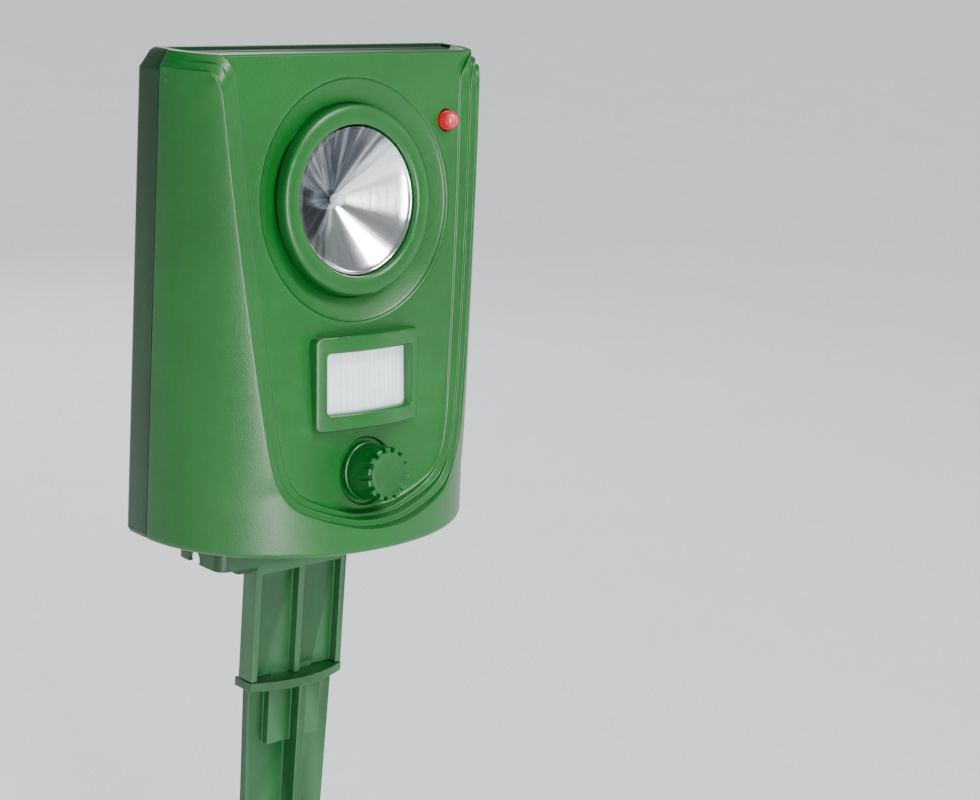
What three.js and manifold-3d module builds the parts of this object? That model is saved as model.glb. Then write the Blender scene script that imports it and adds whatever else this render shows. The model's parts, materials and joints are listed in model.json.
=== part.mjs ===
// Ultrasonic pest repeller on a ground stake, in millimetres, +Z up.
// The origin is on the stake's axis at the soil line. The front faces -Y and +X is to the
// right when the front is looked at. The housing is built in its own group, whose origin is
// on the flat back at the underside, and everything on the leaning face in a nested group.
import * as THREE from 'three';
import { mergeVertices } from 'three/addons/utils/BufferGeometryUtils.js';
import Module from 'manifold-3d';

const wasm = await Module();
wasm.setup();

// ---------------------------------------------------------------- driving dimensions
// housing, seen in plan as a flat back with a rounded front
const HOUSING_HEIGHT = 116.6;
const HOUSING_WIDTH_BOTTOM = 92;
const HOUSING_WIDTH_TOP = 94.8;
const HOUSING_DEPTH_BOTTOM = 44;
const HOUSING_DEPTH_TOP = 34.2;
const SIDE_STRAIGHT = 6.4;      // flat part of the side, from the back
const PLAN_POWER = 2.1;         // superellipse power of the rounded front
const BACK_CORNER = 2;
const JACKET_STEP = 2.1;        // how far the jacket stands out from the inner body
const LIP_HEIGHT = 3.7;         // inner body that shows above the jacket
const MIDDLE_DROP = 1.9;        // top of the middle step, below the top deck
const EDGE_ROUND = 1.4;         // round of the jacket's lower edge
const DECK_RIM = 2.6;
const DECK_DEPTH = 0.7;
const WALL = 2.4;
const SEAM_DEPTH = 8.9;         // parting line, from the back
const SEAM_RIM = 4.6;           // thickened rim at the parting line
const SEAM_RIM_DEPTH = 3;
// leaning face
const FACE_TILT = THREE.MathUtils.degToRad(8.05);
const FACE_DEPTH_TOP = 21;
const TONGUE_STEP = 1.9;        // height of each of the three steps around the face
const TONGUE_HALF_LOW = 25.7;   // half width of the face near its foot
const TONGUE_SPREAD = 0.1;      // how much each half gains with height
const TONGUE_FOOT = 7.2;
const TONGUE_CORNER = 22;
const TONGUE_TREAD = 1.7;       // width of each step round the face
const FOOT_HALF = 16;           // half width of the face's bowed foot
const FOOT_BOW = 2;
const FLARE = 9;                // size of the curve that turns the steps into the shoulder
// speaker
const SPEAKER_UP = 83.1;
const DISH_RADIUS = 29.3;
const DISH_DEPTH = 3;
const BEZEL_RADIUS = 22.9;
const BEZEL_PROUD = 0.9;
const CONE_RADIUS = 17.9;
const CONE_DEPTH = 9.5;
const SPEAKER_FLANGE = 29.4;
const SPEAKER_SCREW_RADIUS = 26.9;
// motion window
const WINDOW_UP = 40.4;
const WINDOW_WIDTH = 26.4;
const WINDOW_HEIGHT = 14.6;
const HOOD_WIDTH = 32.4;
const HOOD_HEIGHT = 22.8;
const HOOD_EDGE = 1.2;
const HOOD_BULGE = 3.4;
const LENS_THICK = 1;
const LENS_LAP = 0.8;
// indicator and knob
const LED_RADIUS = 2.5;
const LED_ACROSS = 29.6;
const LED_UP = 101.5;
const KNOB_UP = 17.6;
const KNOB_RADIUS = 6.6;
const KNOB_LENGTH = 8.6;
const KNOB_NOTCHES = 14;
const SHAFT_RADIUS = 2.9;
const WELL_RADIUS = 8.4;
const WELL_DEPTH = 1.2;
// circuit board, parallel to the face
const BOARD_BACK = 9.6;         // from the outside of the face to the board's front
const BOARD_THICK = 1.6;
const BOARD_HALF = 29;
const BOARD_LOW = 5.4;
const BOARD_TOP = 47;
const BOARD_SCREW_X = 24;
const BOARD_SCREW_UP = [13.8, 43.4];
const POST_RADIUS = 2.6;
// battery bay and door
const CELL_RADIUS = 7.1;
const CELL_LENGTH = 50.3;
const CELLS = 4;
const CELL_GAP = 0.8;
const CELL_PLAY = 0.35;         // free space in front of and behind a cell
const BAY_LOW = 6.8;
const BAY_HEIGHT = 56.9;
const BAY_WALL = 1.4;
const DOOR_THICK = 1.9;
const DOOR_HALF = 34.2;
const DOOR_TOP = 73.9;
const DOOR_SCREW_UP = 69.6;
const DOOR_PIVOT_UP = 4.6;
const DOOR_BARREL = 1.05;     // radius of the door's rounded lower edge, about its hinge
const DOOR_PIN = 0.6;
// housing screws
const SCREW_X = 37.6;
const SCREW_UP = [10.2, 106];
const SCREW_RADIUS = 1.4;
const SCREW_HEAD = 2.9;
const BOSS_RADIUS = 3.4;
// stake
const HOUSING_UP = 58;          // underside of the housing above the soil
const STAKE_TO_BACK = 9;        // stake axis in front of the housing's back
const PIVOT_DROP = 7;           // tilt bolt below the housing
const BRACKET_HALF = 31.5;
const BRACKET_FRONT = 10.4;     // from the stake's axis to the front of the bracket
const BRACKET_BACK = 7.5;
const BRACKET_SKIRT = 8;        // how far its skirt hangs below the housing
const SKIRT_WALL = 1.2;
const LUG_THICK = 3;
const BRACKET_SCREW_X = 26.5;
const BRACKET_SCREW_Y = -15;    // from the housing's back, into the front shell
const LUG_HALF = 6;
const LUG_REACH = 5;            // lug below the tilt bolt's axis
const STAKE_HALF = 15;
const STAKE_WEB = 2.2;
const STAKE_RIB = 3.6;          // ribs and side flanges, in front of the stake's axis
const STOP_UP = 16;             // top of the stop plate above the soil
const STOP_THICK = 2.4;
const STOP_BULGE = 3.4;         // curved front of the stop plate, beyond the ribs
const SPIKE_LENGTH = 128;       // below the soil line
const FIT = 0.15;               // gap that a fixed piece keeps to its neighbour
const CLEAR = 0.3;              // gap between surfaces in a leaning group

// ---------------------------------------------------------------- finishes
const finish = (color, roughness, metalness = 0) =>
  new THREE.MeshStandardMaterial({ color, roughness, metalness });
const greenFront = finish(0x2f7a3a, 0.5);
const greenRear = finish(0x1f5a2c, 0.55);
const greenStake = finish(0x2a6b3c, 0.5);
const greenKnob = finish(0x2c7238, 0.45);
const lensWhite = finish(0xe9eef0, 0.4);
const ledRed = finish(0xd3122a, 0.2);
const polished = finish(0xd0d4d8, 0.15, 1);
const steel = finish(0xb4b6b8, 0.3, 1);
const brass = finish(0xb59a4a, 0.35, 1);
const blackPlastic = finish(0x1b1c1e, 0.5);
const boardGreen = finish(0x1d5e34, 0.6);
const rubber = finish(0x202322, 0.85);
const cellSleeve = finish(0x6a7076, 0.4);
const clearBead = finish(0xdfe8ec, 0.1);
const copper = finish(0xb06a36, 0.35, 1);
const wireRed = finish(0xa81e1e, 0.6);
const wireBlack = finish(0x18181a, 0.6);

// ---------------------------------------------------------------- solids and meshes
// a closed geometry as a manifold solid, turned the right way out
function solid(geometry) {
  const plain = geometry.index ? geometry.toNonIndexed() : geometry.clone();
  for (const name of Object.keys(plain.attributes)) {
    if (name !== 'position') plain.deleteAttribute(name);
  }
  const merged = mergeVertices(plain, 1e-4);
  const points = merged.attributes.position.array;
  const index = Array.from(merged.index.array);
  const kept = [];
  let volume = 0;
  const a = new THREE.Vector3();
  const b = new THREE.Vector3();
  const c = new THREE.Vector3();
  for (let i = 0; i < index.length; i += 3) {
    const [p, q, r] = index.slice(i, i + 3);
    if (p === q || q === r || r === p) continue;
    kept.push(p, q, r);
    volume += a.fromArray(points, 3 * p).dot(
      b.fromArray(points, 3 * q).cross(c.fromArray(points, 3 * r)));
  }
  if (volume < 0) kept.reverse();
  return new wasm.Manifold(new wasm.Mesh({
    numProp: 3, vertProperties: new Float32Array(points), triVerts: new Uint32Array(kept),
  }));
}

function meshOf(name, shape, material) {
  const body = shape instanceof THREE.BufferGeometry ? solid(shape) : shape;
  const result = body.getMesh();
  const geometry = new THREE.BufferGeometry();
  geometry.setAttribute('position', new THREE.BufferAttribute(result.vertProperties, 3));
  geometry.setIndex(new THREE.BufferAttribute(result.triVerts, 1));
  const mesh = new THREE.Mesh(geometry, material);
  mesh.name = name;
  return mesh;
}

const join = (...parts) => parts.reduce((sum, part) => sum.add(part));
const cut = (body, ...tools) => tools.reduce((rest, tool) => rest.subtract(tool), body);

function block(x0, x1, y0, y1, z0, z1) {
  const box = new THREE.BoxGeometry(x1 - x0, y1 - y0, z1 - z0);
  return solid(box.translate((x0 + x1) / 2, (y0 + y1) / 2, (z0 + z1) / 2));
}

// round bars along Y, X and Z
function rodY(radius, y0, y1, x = 0, z = 0, sides = 20) {
  const rod = new THREE.CylinderGeometry(radius, radius, y1 - y0, sides);
  return solid(rod.translate(x, (y0 + y1) / 2, z));
}

function rodX(radius, x0, x1, y = 0, z = 0, sides = 20) {
  const rod = new THREE.CylinderGeometry(radius, radius, x1 - x0, sides);
  return solid(rod.rotateZ(Math.PI / 2).translate((x0 + x1) / 2, y, z));
}

function rodZ(radius, z0, z1, x = 0, y = 0, sides = 20) {
  const rod = new THREE.CylinderGeometry(radius, radius, z1 - z0, sides);
  return solid(rod.rotateX(Math.PI / 2).translate(x, y, (z0 + z1) / 2));
}

// a profile of (radius, y) points turned about the Y axis, then moved in X and Z
function turned(profile, x = 0, z = 0, sides = 40) {
  const points = profile.map(([radius, y]) => new THREE.Vector2(radius, y));
  return solid(new THREE.LatheGeometry(points, sides).translate(x, 0, z));
}

// an outline in X and Z carried along Y from y0 to y1
function prismY(shape, y0, y1, curveSegments = 8) {
  const options = { depth: y1 - y0, bevelEnabled: false, curveSegments };
  const prism = new THREE.ExtrudeGeometry(shape, options);
  return solid(prism.rotateX(Math.PI / 2).translate(0, y1, 0));
}

// an outline in X and Y carried up from z0 to z1
function prismZ(shape, z0, z1, curveSegments = 8) {
  const options = { depth: z1 - z0, bevelEnabled: false, curveSegments };
  return solid(new THREE.ExtrudeGeometry(shape, options).translate(0, 0, z0));
}

function outlineShape(points) {
  return new THREE.Shape(points.map(([x, y]) => new THREE.Vector2(x, y)));
}

function roundedShape(x0, x1, y0, y1, radius) {
  const shape = new THREE.Shape();
  shape.moveTo(x0 + radius, y0);
  shape.lineTo(x1 - radius, y0);
  shape.absarc(x1 - radius, y0 + radius, radius, -Math.PI / 2, 0);
  shape.lineTo(x1, y1 - radius);
  shape.absarc(x1 - radius, y1 - radius, radius, 0, Math.PI / 2);
  shape.lineTo(x0 + radius, y1);
  shape.absarc(x0 + radius, y1 - radius, radius, Math.PI / 2, Math.PI);
  shape.lineTo(x0, y0 + radius);
  shape.absarc(x0 + radius, y0 + radius, radius, Math.PI, Math.PI * 1.5);
  return shape;
}

// a wire of round section along a smooth curve through the points
function wire(points, radius, steps) {
  const route = new THREE.CatmullRomCurve3(points.map((p) => new THREE.Vector3(...p)));
  const section = new THREE.Shape();
  section.absarc(0, 0, radius, 0, Math.PI * 2);
  const options = { steps, extrudePath: route, curveSegments: 4, bevelEnabled: false };
  return solid(new THREE.ExtrudeGeometry(section, options));
}

// ---------------------------------------------------------------- housing outline
const faceDepthAt = (z) => FACE_DEPTH_TOP + (HOUSING_HEIGHT - z) * Math.tan(FACE_TILT);
const faceOrigin = new THREE.Vector3(0, -faceDepthAt(0), 0);
const faceMatrix = new THREE.Matrix4().makeRotationX(-FACE_TILT).setPosition(faceOrigin);
const inFace = (body) => body.transform(faceMatrix.toArray());

// plan of the housing at height z, drawn in by inset on every side
function planAt(z, inset) {
  const share = z / HOUSING_HEIGHT;
  const width = THREE.MathUtils.lerp(HOUSING_WIDTH_BOTTOM, HOUSING_WIDTH_TOP, share);
  const depth = THREE.MathUtils.lerp(HOUSING_DEPTH_BOTTOM, HOUSING_DEPTH_TOP, share);
  const half = width / 2 - inset;
  const reach = depth - inset - SIDE_STRAIGHT;
  const corner = Math.max(BACK_CORNER - inset, 0.4);
  const cornerSteps = 5;
  const frontSteps = 44;
  const left = [];
  for (let i = 0; i <= cornerSteps; i += 1) {
    const angle = Math.PI / 2 * (1 + i / cornerSteps);
    left.push([-half + corner + corner * Math.cos(angle),
      -inset - corner + corner * Math.sin(angle)]);
  }
  const front = [];
  for (let i = 0; i <= frontSteps; i += 1) {
    const angle = Math.PI * i / frontSteps;
    const across = Math.abs(Math.cos(angle)) ** (2 / PLAN_POWER) * Math.sign(Math.cos(angle));
    front.push([-half * across,
      -SIDE_STRAIGHT - reach * Math.abs(Math.sin(angle)) ** (2 / PLAN_POWER)]);
  }
  const right = left.map(([x, y]) => [-x, y]).reverse();
  return [...left, ...front, ...right];
}

// a closed body through plans at rising levels, each given as [height, inset]
function planBody(levels) {
  const rings = levels.map(([z, inset]) => planAt(z, inset).map(([x, y]) => [x, y, z]));
  const count = rings[0].length;
  const positions = rings.flat(2);
  const index = [];
  for (let level = 0; level < rings.length - 1; level += 1) {
    for (let i = 0; i < count; i += 1) {
      const a = level * count + i;
      const b = level * count + (i + 1) % count;
      index.push(a, b, b + count, a, b + count, a + count);
    }
  }
  const last = (rings.length - 1) * count;
  for (let i = 1; i < count - 1; i += 1) {
    index.push(0, i + 1, i, last, last + i, last + i + 1);
  }
  const geometry = new THREE.BufferGeometry();
  geometry.setAttribute('position', new THREE.Float32BufferAttribute(positions, 3));
  geometry.setIndex(index);
  return solid(geometry);
}

const JACKET_TOP = HOUSING_HEIGHT - LIP_HEIGHT;
const MIDDLE_TOP = HOUSING_HEIGHT - MIDDLE_DROP;
const FAR = 80;                 // beyond every part of the housing
const inFrontOf = (inward) => inFace(block(-FAR, FAR, -FAR, inward, -FAR, 2 * FAR));

// outline of one step round the face, in the face's plane: the right half is drawn upwards
// from the bowed foot to the flare that runs into the shoulder, and the left half mirrors it
function tongue(side, drop) {
  const halfAt = (up) => TONGUE_HALF_LOW + side + TONGUE_SPREAD * (up - TONGUE_CORNER);
  const foot = TONGUE_FOOT - drop;
  const rise = foot + FOOT_BOW;
  const flareUp = JACKET_TOP - FLARE;
  const corner = halfAt(TONGUE_CORNER);
  const narrow = halfAt(flareUp);
  const top = halfAt(JACKET_TOP);
  const shape = new THREE.Shape();
  shape.moveTo(-FOOT_HALF, rise);
  shape.quadraticCurveTo(0, foot - FOOT_BOW, FOOT_HALF, rise);
  shape.quadraticCurveTo(corner - FOOT_BOW / 2, rise + FOOT_BOW, corner, TONGUE_CORNER);
  shape.lineTo(narrow, flareUp);
  shape.quadraticCurveTo(top, JACKET_TOP, top + FLARE, JACKET_TOP);
  shape.lineTo(FAR, JACKET_TOP);
  shape.lineTo(FAR, 2 * FAR);
  shape.lineTo(-FAR, 2 * FAR);
  shape.lineTo(-FAR, JACKET_TOP);
  shape.lineTo(-top - FLARE, JACKET_TOP);
  shape.quadraticCurveTo(-top, JACKET_TOP, -narrow, flareUp);
  shape.lineTo(-corner, TONGUE_CORNER);
  shape.quadraticCurveTo(-corner + FOOT_BOW / 2, rise + FOOT_BOW, -FOOT_HALF, rise);
  return shape;
}

// shallow recess of the top deck, inside its rim
function deckRecess() {
  const inset = JACKET_STEP + DECK_RIM;
  const deck = planBody([[HOUSING_HEIGHT - DECK_DEPTH, inset], [HOUSING_HEIGHT + 2, inset]]);
  return cut(deck, inFrontOf(DECK_RIM));
}

// jacket, middle step and inner body, cut back to the leaning face in three steps
function outerBody() {
  const jacket = planBody([[0, EDGE_ROUND], [0.4, 0.6], [EDGE_ROUND, 0], [JACKET_TOP - 2, 0],
    [JACKET_TOP - 0.6, 0.5], [JACKET_TOP, 1.1]]);
  const middle = planBody([[EDGE_ROUND, JACKET_STEP / 2], [MIDDLE_TOP - 0.4, JACKET_STEP / 2],
    [MIDDLE_TOP, JACKET_STEP / 2 + 0.4]]);
  const inner = planBody([[EDGE_ROUND, JACKET_STEP], [HOUSING_HEIGHT - 0.8, JACKET_STEP],
    [HOUSING_HEIGHT, JACKET_STEP + 0.8]]);
  const steps = [0, 1, 2].map((i) => inFace(
    prismY(tongue(TONGUE_TREAD * i, TONGUE_TREAD / 2 * i), -FAR, -TONGUE_STEP * i, 6)));
  return cut(join(cut(join(jacket, middle), ...steps), cut(inner, inFrontOf(0))), deckRecess());
}

// behind the parting line the steps run out into one slope
function rearBody() {
  const body = planBody([[0, EDGE_ROUND], [0.4, 0.6], [EDGE_ROUND, 0], [JACKET_TOP - 1, 0],
    [MIDDLE_TOP - 0.4, JACKET_STEP * 0.7], [HOUSING_HEIGHT - 0.8, JACKET_STEP],
    [HOUSING_HEIGHT, JACKET_STEP + 0.8]]);
  return cut(body, deckRecess());
}

// the hollow of both shells between two depths, before posts are left standing in it
function hollow(fromDepth, toDepth, inset) {
  const body = planBody([[inset, inset], [HOUSING_HEIGHT - 9, inset],
    [HOUSING_HEIGHT - 6, Math.max(inset, WALL + JACKET_STEP)],
    [HOUSING_HEIGHT - WALL - 0.8, Math.max(inset, WALL + JACKET_STEP)]]);
  return cut(body, inFrontOf(WALL))
    .intersect(block(-FAR, FAR, -toDepth, -fromDepth, -1, HOUSING_HEIGHT + 1));
}

const outer = outerBody();
const corners = SCREW_UP.flatMap((z) => [[-SCREW_X, z], [SCREW_X, z]]);
const boardCorners = BOARD_SCREW_UP.flatMap((z) => [[-BOARD_SCREW_X, z], [BOARD_SCREW_X, z]]);
const speakerCorners = [0, 1, 2, 3].map((i) => {
  const angle = Math.PI / 4 + i * Math.PI / 2;
  return [SPEAKER_SCREW_RADIUS * Math.cos(angle),
    SPEAKER_UP + SPEAKER_SCREW_RADIUS * Math.sin(angle)];
});
const SPEAKER_SEAT = DISH_DEPTH + 2.6;
const SPEAKER_HOLE = CONE_RADIUS + 2.4;
const KNOB_SEAT = WELL_DEPTH + 2.6;

// ---------------------------------------------------------------- shells and seal
function frontShell() {
  const seam = SEAM_DEPTH + FIT;
  let room = join(hollow(seam - 1, seam + SEAM_RIM_DEPTH, SEAM_RIM),
    hollow(seam + SEAM_RIM_DEPTH - 0.01, FAR, WALL));
  const posts = [
    rodY(DISH_RADIUS + 1.7, -5, SPEAKER_SEAT, 0, SPEAKER_UP, 40),
    rodY(WELL_RADIUS + 1.2, -5, KNOB_SEAT, 0, KNOB_UP, 24),
    rodY(LED_RADIUS + 1.9, -5, 4, LED_ACROSS, LED_UP),
    ...boardCorners.map(([x, up]) => rodY(POST_RADIUS, -5, BOARD_BACK - CLEAR, x, up, 12)),
  ];
  room = cut(room, ...posts.map(inFace));
  room = cut(room, ...corners.map(([x, z]) => rodY(BOSS_RADIUS, -FAR, -seam, x, z, 16)),
    ...[-1, 1].map((side) => rodZ(3, 0, 4.7, side * BRACKET_SCREW_X, BRACKET_SCREW_Y, 16)));
  const dish = turned([[0, -FAR], [DISH_RADIUS, -FAR], [DISH_RADIUS, 0],
    [DISH_RADIUS - 1.2, DISH_DEPTH * 0.36], [DISH_RADIUS - 3, DISH_DEPTH * 0.7],
    [DISH_RADIUS - 4.8, DISH_DEPTH * 0.92], [BEZEL_RADIUS + CLEAR, DISH_DEPTH],
    [BEZEL_RADIUS + CLEAR, DISH_DEPTH + 0.2], [SPEAKER_HOLE, DISH_DEPTH + 0.2],
    [SPEAKER_HOLE, SPEAKER_SEAT + 1], [0, SPEAKER_SEAT + 1]], 0, SPEAKER_UP, 48);
  const well = turned([[0, -FAR], [WELL_RADIUS, -FAR], [WELL_RADIUS, -0.2],
    [WELL_RADIUS - 0.7, WELL_DEPTH], [SHAFT_RADIUS + CLEAR + 0.2, WELL_DEPTH],
    [SHAFT_RADIUS + CLEAR + 0.2, KNOB_SEAT + 1], [0, KNOB_SEAT + 1]], 0, KNOB_UP, 32);
  const windowHalf = HOOD_WIDTH / 2 - 1.1;
  const windowUp = HOOD_HEIGHT / 2 - 1.9;
  const tools = [
    dish, well,
    rodY(LED_RADIUS + FIT, -FAR, 5, LED_ACROSS, LED_UP),
    block(-windowHalf, windowHalf, -FAR, 5, WINDOW_UP - windowUp, WINDOW_UP + windowUp),
    ...boardCorners.map(([x, up]) => rodY(0.85, 4.5, BOARD_BACK, x, up, 10)),
    ...speakerCorners.map(([x, up]) => rodY(0.85, 2.4, SPEAKER_SEAT + 1, x, up, 10)),
  ].map(inFace);
  const pilots = [
    ...corners.map(([x, z]) => rodY(SCREW_RADIUS + 0.1, -seam - 8, 0, x, z, 12)),
    ...[-1, 1].map((side) =>
      rodZ(SCREW_RADIUS + 0.1, -1, 3.9, side * BRACKET_SCREW_X, BRACKET_SCREW_Y, 12)),
  ];
  const behind = block(-FAR, FAR, -seam, FAR, -1, 2 * FAR);
  return cut(outer, behind, room, ...tools, ...pilots);
}

const BAY_HALF = CELLS * CELL_RADIUS + (CELLS - 1) * CELL_GAP / 2 + 0.9;
const BAY_TOP = BAY_LOW + BAY_HEIGHT;
const DOOR_FLOOR = DOOR_THICK + 0.35;
const BAY_DEPTH = DOOR_FLOOR + 2 * (CELL_RADIUS + CELL_PLAY);

function rearShell() {
  const seam = SEAM_DEPTH - FIT;
  const rimStart = seam - SEAM_RIM_DEPTH;
  let room = join(hollow(WALL, rimStart + 0.01, WALL), hollow(rimStart, seam + 1, SEAM_RIM));
  const ledge = 4.4;
  room = cut(room,
    block(-DOOR_HALF - 2, DOOR_HALF + 2, -ledge, 1, 0, DOOR_TOP + 2.2),
    ...corners.map(([x, z]) => rodY(BOSS_RADIUS, -seam, 0, x, z, 16)));
  const bay = block(-BAY_HALF - BAY_WALL, BAY_HALF + BAY_WALL, -BAY_DEPTH - BAY_WALL, -1,
    BAY_LOW - BAY_WALL, BAY_TOP + BAY_WALL);
  const doorBoss = rodY(3, -7.4, -1, 0, DOOR_SCREW_UP, 14);
  const side = DOOR_HALF + FIT;
  const recess = join(
    prismY(roundedShape(-side, side, 8, DOOR_TOP + FIT, 2), -DOOR_FLOOR, 1, 3),
    block(-side, side, -DOOR_FLOOR, 1, DOOR_PIVOT_UP - DOOR_BARREL - 0.2, 12),
    rodX(DOOR_PIN + 0.08, -side - 1.6, side + 1.6, -DOOR_BARREL, DOOR_PIVOT_UP, 12));
  const wireHoles = [-25, 25].map((x) => block(x - 1.4, x + 1.4,
    -BAY_DEPTH - 3, -BAY_DEPTH + 3, BAY_LOW + 0.6, BAY_LOW + 3.4));
  const screwWays = corners.flatMap(([x, z]) => [
    rodY(SCREW_RADIUS + 0.3, -seam - 1, 1, x, z, 12), rodY(SCREW_HEAD + 0.3, -4, 1, x, z, 16)]);
  const front = block(-FAR, FAR, -FAR, -seam, -1, 2 * FAR);
  const tray = cut(rearBody(), front, room);
  return cut(join(tray, bay, doorBoss), recess,
    block(-BAY_HALF, BAY_HALF, -BAY_DEPTH, 1, BAY_LOW, BAY_TOP),
    rodY(1.15, -6.6, 1, 0, DOOR_SCREW_UP, 12), sealLoop(0.75, 2.0, seam - 1.1, seam + 1),
    ...wireHoles, ...screwWays);
}

// a loop that follows the rim, between two insets and two depths
function sealLoop(insetOut, insetIn, fromDepth, toDepth) {
  const loop = (inset) => outlineShape([
    [-HOUSING_WIDTH_BOTTOM / 2 + 1.6 + inset, 0.8 + inset],
    [HOUSING_WIDTH_BOTTOM / 2 - 1.6 - inset, 0.8 + inset],
    [HOUSING_WIDTH_TOP / 2 - 2.4 - inset, HOUSING_HEIGHT - 0.4 - inset],
    [-HOUSING_WIDTH_TOP / 2 + 2.4 + inset, HOUSING_HEIGHT - 0.4 - inset],
  ]);
  return prismY(loop(insetOut), -toDepth, -fromDepth)
    .subtract(prismY(loop(insetIn), -toDepth - 1, -fromDepth + 1));
}

const housingSeal = () =>
  sealLoop(0.9, 1.85, SEAM_DEPTH - FIT - 1, SEAM_DEPTH + FIT - 0.05);

// a pan-head screw along +Y, head at y = 0 and tip at -length
function screw(length, radius, headRadius, headHeight, slotHalf = 0.35) {
  const body = turned([[0, -length], [radius * 0.4, -length], [radius, -length + 1.2],
    [radius, -headHeight], [headRadius, -headHeight], [headRadius, -headHeight * 0.4],
    [headRadius * 0.6, 0], [0, 0]], 0, 0, 14);
  const slotDepth = headHeight * 0.5;
  const reach = headRadius * 0.7;
  return cut(body, block(-reach, reach, -slotDepth, 1, -slotHalf, slotHalf),
    block(-slotHalf, slotHalf, -slotDepth, 1, -reach, reach));
}

// ---------------------------------------------------------------- speaker
const speakerBezel = () => turned([[CONE_RADIUS, -BEZEL_PROUD + 0.5],
  [CONE_RADIUS + 0.5, -BEZEL_PROUD], [BEZEL_RADIUS - 0.6, -BEZEL_PROUD],
  [BEZEL_RADIUS, -BEZEL_PROUD + 0.6], [BEZEL_RADIUS, DISH_DEPTH - 0.1],
  [SPEAKER_HOLE + 0.3, DISH_DEPTH - 0.1], [SPEAKER_HOLE + 0.3, 0.6], [CONE_RADIUS, 0.6],
  [CONE_RADIUS, -BEZEL_PROUD + 0.5]], 0, 0, 48);

const speakerCone = () => turned([[0, CONE_DEPTH], [1.6, CONE_DEPTH], [CONE_RADIUS - 0.7, 1.5],
  [CONE_RADIUS - 0.1, 0.9], [CONE_RADIUS - 0.1, 1.6], [CONE_RADIUS - 0.5, 2.2],
  [1.9, CONE_DEPTH + 0.6], [0, CONE_DEPTH + 0.6]], 0, 0, 40);

function speakerFrame() {
  const seat = SPEAKER_SEAT + FIT;
  const tube = SPEAKER_HOLE - 0.3;
  const bore = CONE_RADIUS + 0.2;
  const cup = turned([[bore, 0.9], [tube, 0.9], [tube, seat], [SPEAKER_FLANGE, seat],
    [SPEAKER_FLANGE, seat + 1.5], [tube, seat + 1.5], [16.6, seat + 2.3], [11.6, 13.1],
    [0, 13.1], [0, 12.1], [10.8, 12.1], [15.9, seat + 1.4], [bore - 0.2, seat + 0.3],
    [bore, seat - 0.6], [bore, 0.9]], 0, 0, 40);
  return cut(cup,
    ...speakerCorners.map(([x, up]) => rodY(1.15, 4, 9, x, up - SPEAKER_UP, 12)),
    rodY(1.2, 10, 15, 6, -5, 10), rodY(1.2, 10, 15, -6, -5, 10));
}

const piezoDisc = () => turned([[0, CONE_DEPTH + 0.75], [2.2, CONE_DEPTH + 0.75],
  [9.6, CONE_DEPTH + 1.6], [9.6, CONE_DEPTH + 2.2], [0, CONE_DEPTH + 2.2]], 0, 0, 28);

const speakerBead = () => turned([[0, CONE_DEPTH - 3.1], [0.9, CONE_DEPTH - 2.8],
  [1.5, CONE_DEPTH - 2], [1.6, CONE_DEPTH - 1.2], [1.1, CONE_DEPTH - 0.3],
  [0, CONE_DEPTH - 0.15]], 0, 0, 20);

// ---------------------------------------------------------------- motion window
// plan of a bulged plate: flat at y = back, crowned by bulge towards the front
function crownedShape(half, edge, bulge, back) {
  const shape = new THREE.Shape();
  shape.moveTo(-half, back);
  shape.lineTo(half, back);
  shape.lineTo(half, -edge);
  shape.quadraticCurveTo(0, -edge - 2 * bulge, -half, -edge);
  shape.lineTo(-half, back);
  return shape;
}

const LENS_HALF = WINDOW_WIDTH / 2 + LENS_LAP;
const LENS_EDGE = 0.5;
const LENS_BULGE = 2.3;

function motionHood() {
  const low = WINDOW_UP - HOOD_HEIGHT / 2;
  const top = WINDOW_UP + HOOD_HEIGHT / 2;
  const body = prismZ(crownedShape(HOOD_WIDTH / 2, HOOD_EDGE, HOOD_BULGE, -CLEAR / 2), low, top);
  const plugHalf = HOOD_WIDTH / 2 - 1.1 - FIT;
  const plugUp = HOOD_HEIGHT / 2 - 1.9 - FIT;
  const plug = block(-plugHalf, plugHalf, -1, WALL - 0.2, WINDOW_UP - plugUp, WINDOW_UP + plugUp);
  const half = WINDOW_WIDTH / 2;
  const halfUp = WINDOW_HEIGHT / 2;
  const opening = block(-half, half, -FAR, 5, WINDOW_UP - halfUp, WINDOW_UP + halfUp);
  const lap = LENS_LAP + FIT;
  const rebate = prismZ(crownedShape(half + lap, LENS_EDGE + FIT, LENS_BULGE, 5),
    WINDOW_UP - halfUp - lap, WINDOW_UP + halfUp + lap);
  // the front rakes back from the brow at the top to the sill
  const rake = solid(new THREE.BoxGeometry(FAR, 6, FAR).translate(0, -3, 0)
    .rotateX(0.07).translate(0, -HOOD_EDGE - HOOD_BULGE - 0.2, WINDOW_UP + 2));
  return cut(join(body, plug), opening, rebate, rake);
}

function motionLens() {
  const reach = WINDOW_HEIGHT / 2 + LENS_LAP;
  const low = WINDOW_UP - reach;
  const top = WINDOW_UP + reach;
  const outside = prismZ(crownedShape(LENS_HALF, LENS_EDGE, LENS_BULGE, LENS_THICK), low, top);
  const inside = prismZ(crownedShape(LENS_HALF - 0.01, LENS_EDGE - LENS_THICK, LENS_BULGE,
    LENS_THICK + 2), low - 1, top + 1);
  return cut(outside, inside);
}

const motionSensor = () => turned([[0, 0], [4.1, 0], [4.1, 0.5], [4.1, 3.7], [4.6, 3.7],
  [4.6, 4.2], [0, 4.2]], 0, 0, 24);

// ---------------------------------------------------------------- indicator, knob and control
const indicatorLed = () => turned([[0, -2.6], [1, -2.4], [1.85, -1.7], [2.3, -0.7],
  [LED_RADIUS, 0.2], [LED_RADIUS, 4.2], [2.9, 4.2], [2.9, 5.2], [0, 5.2]], 0, 0, 24);

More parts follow.
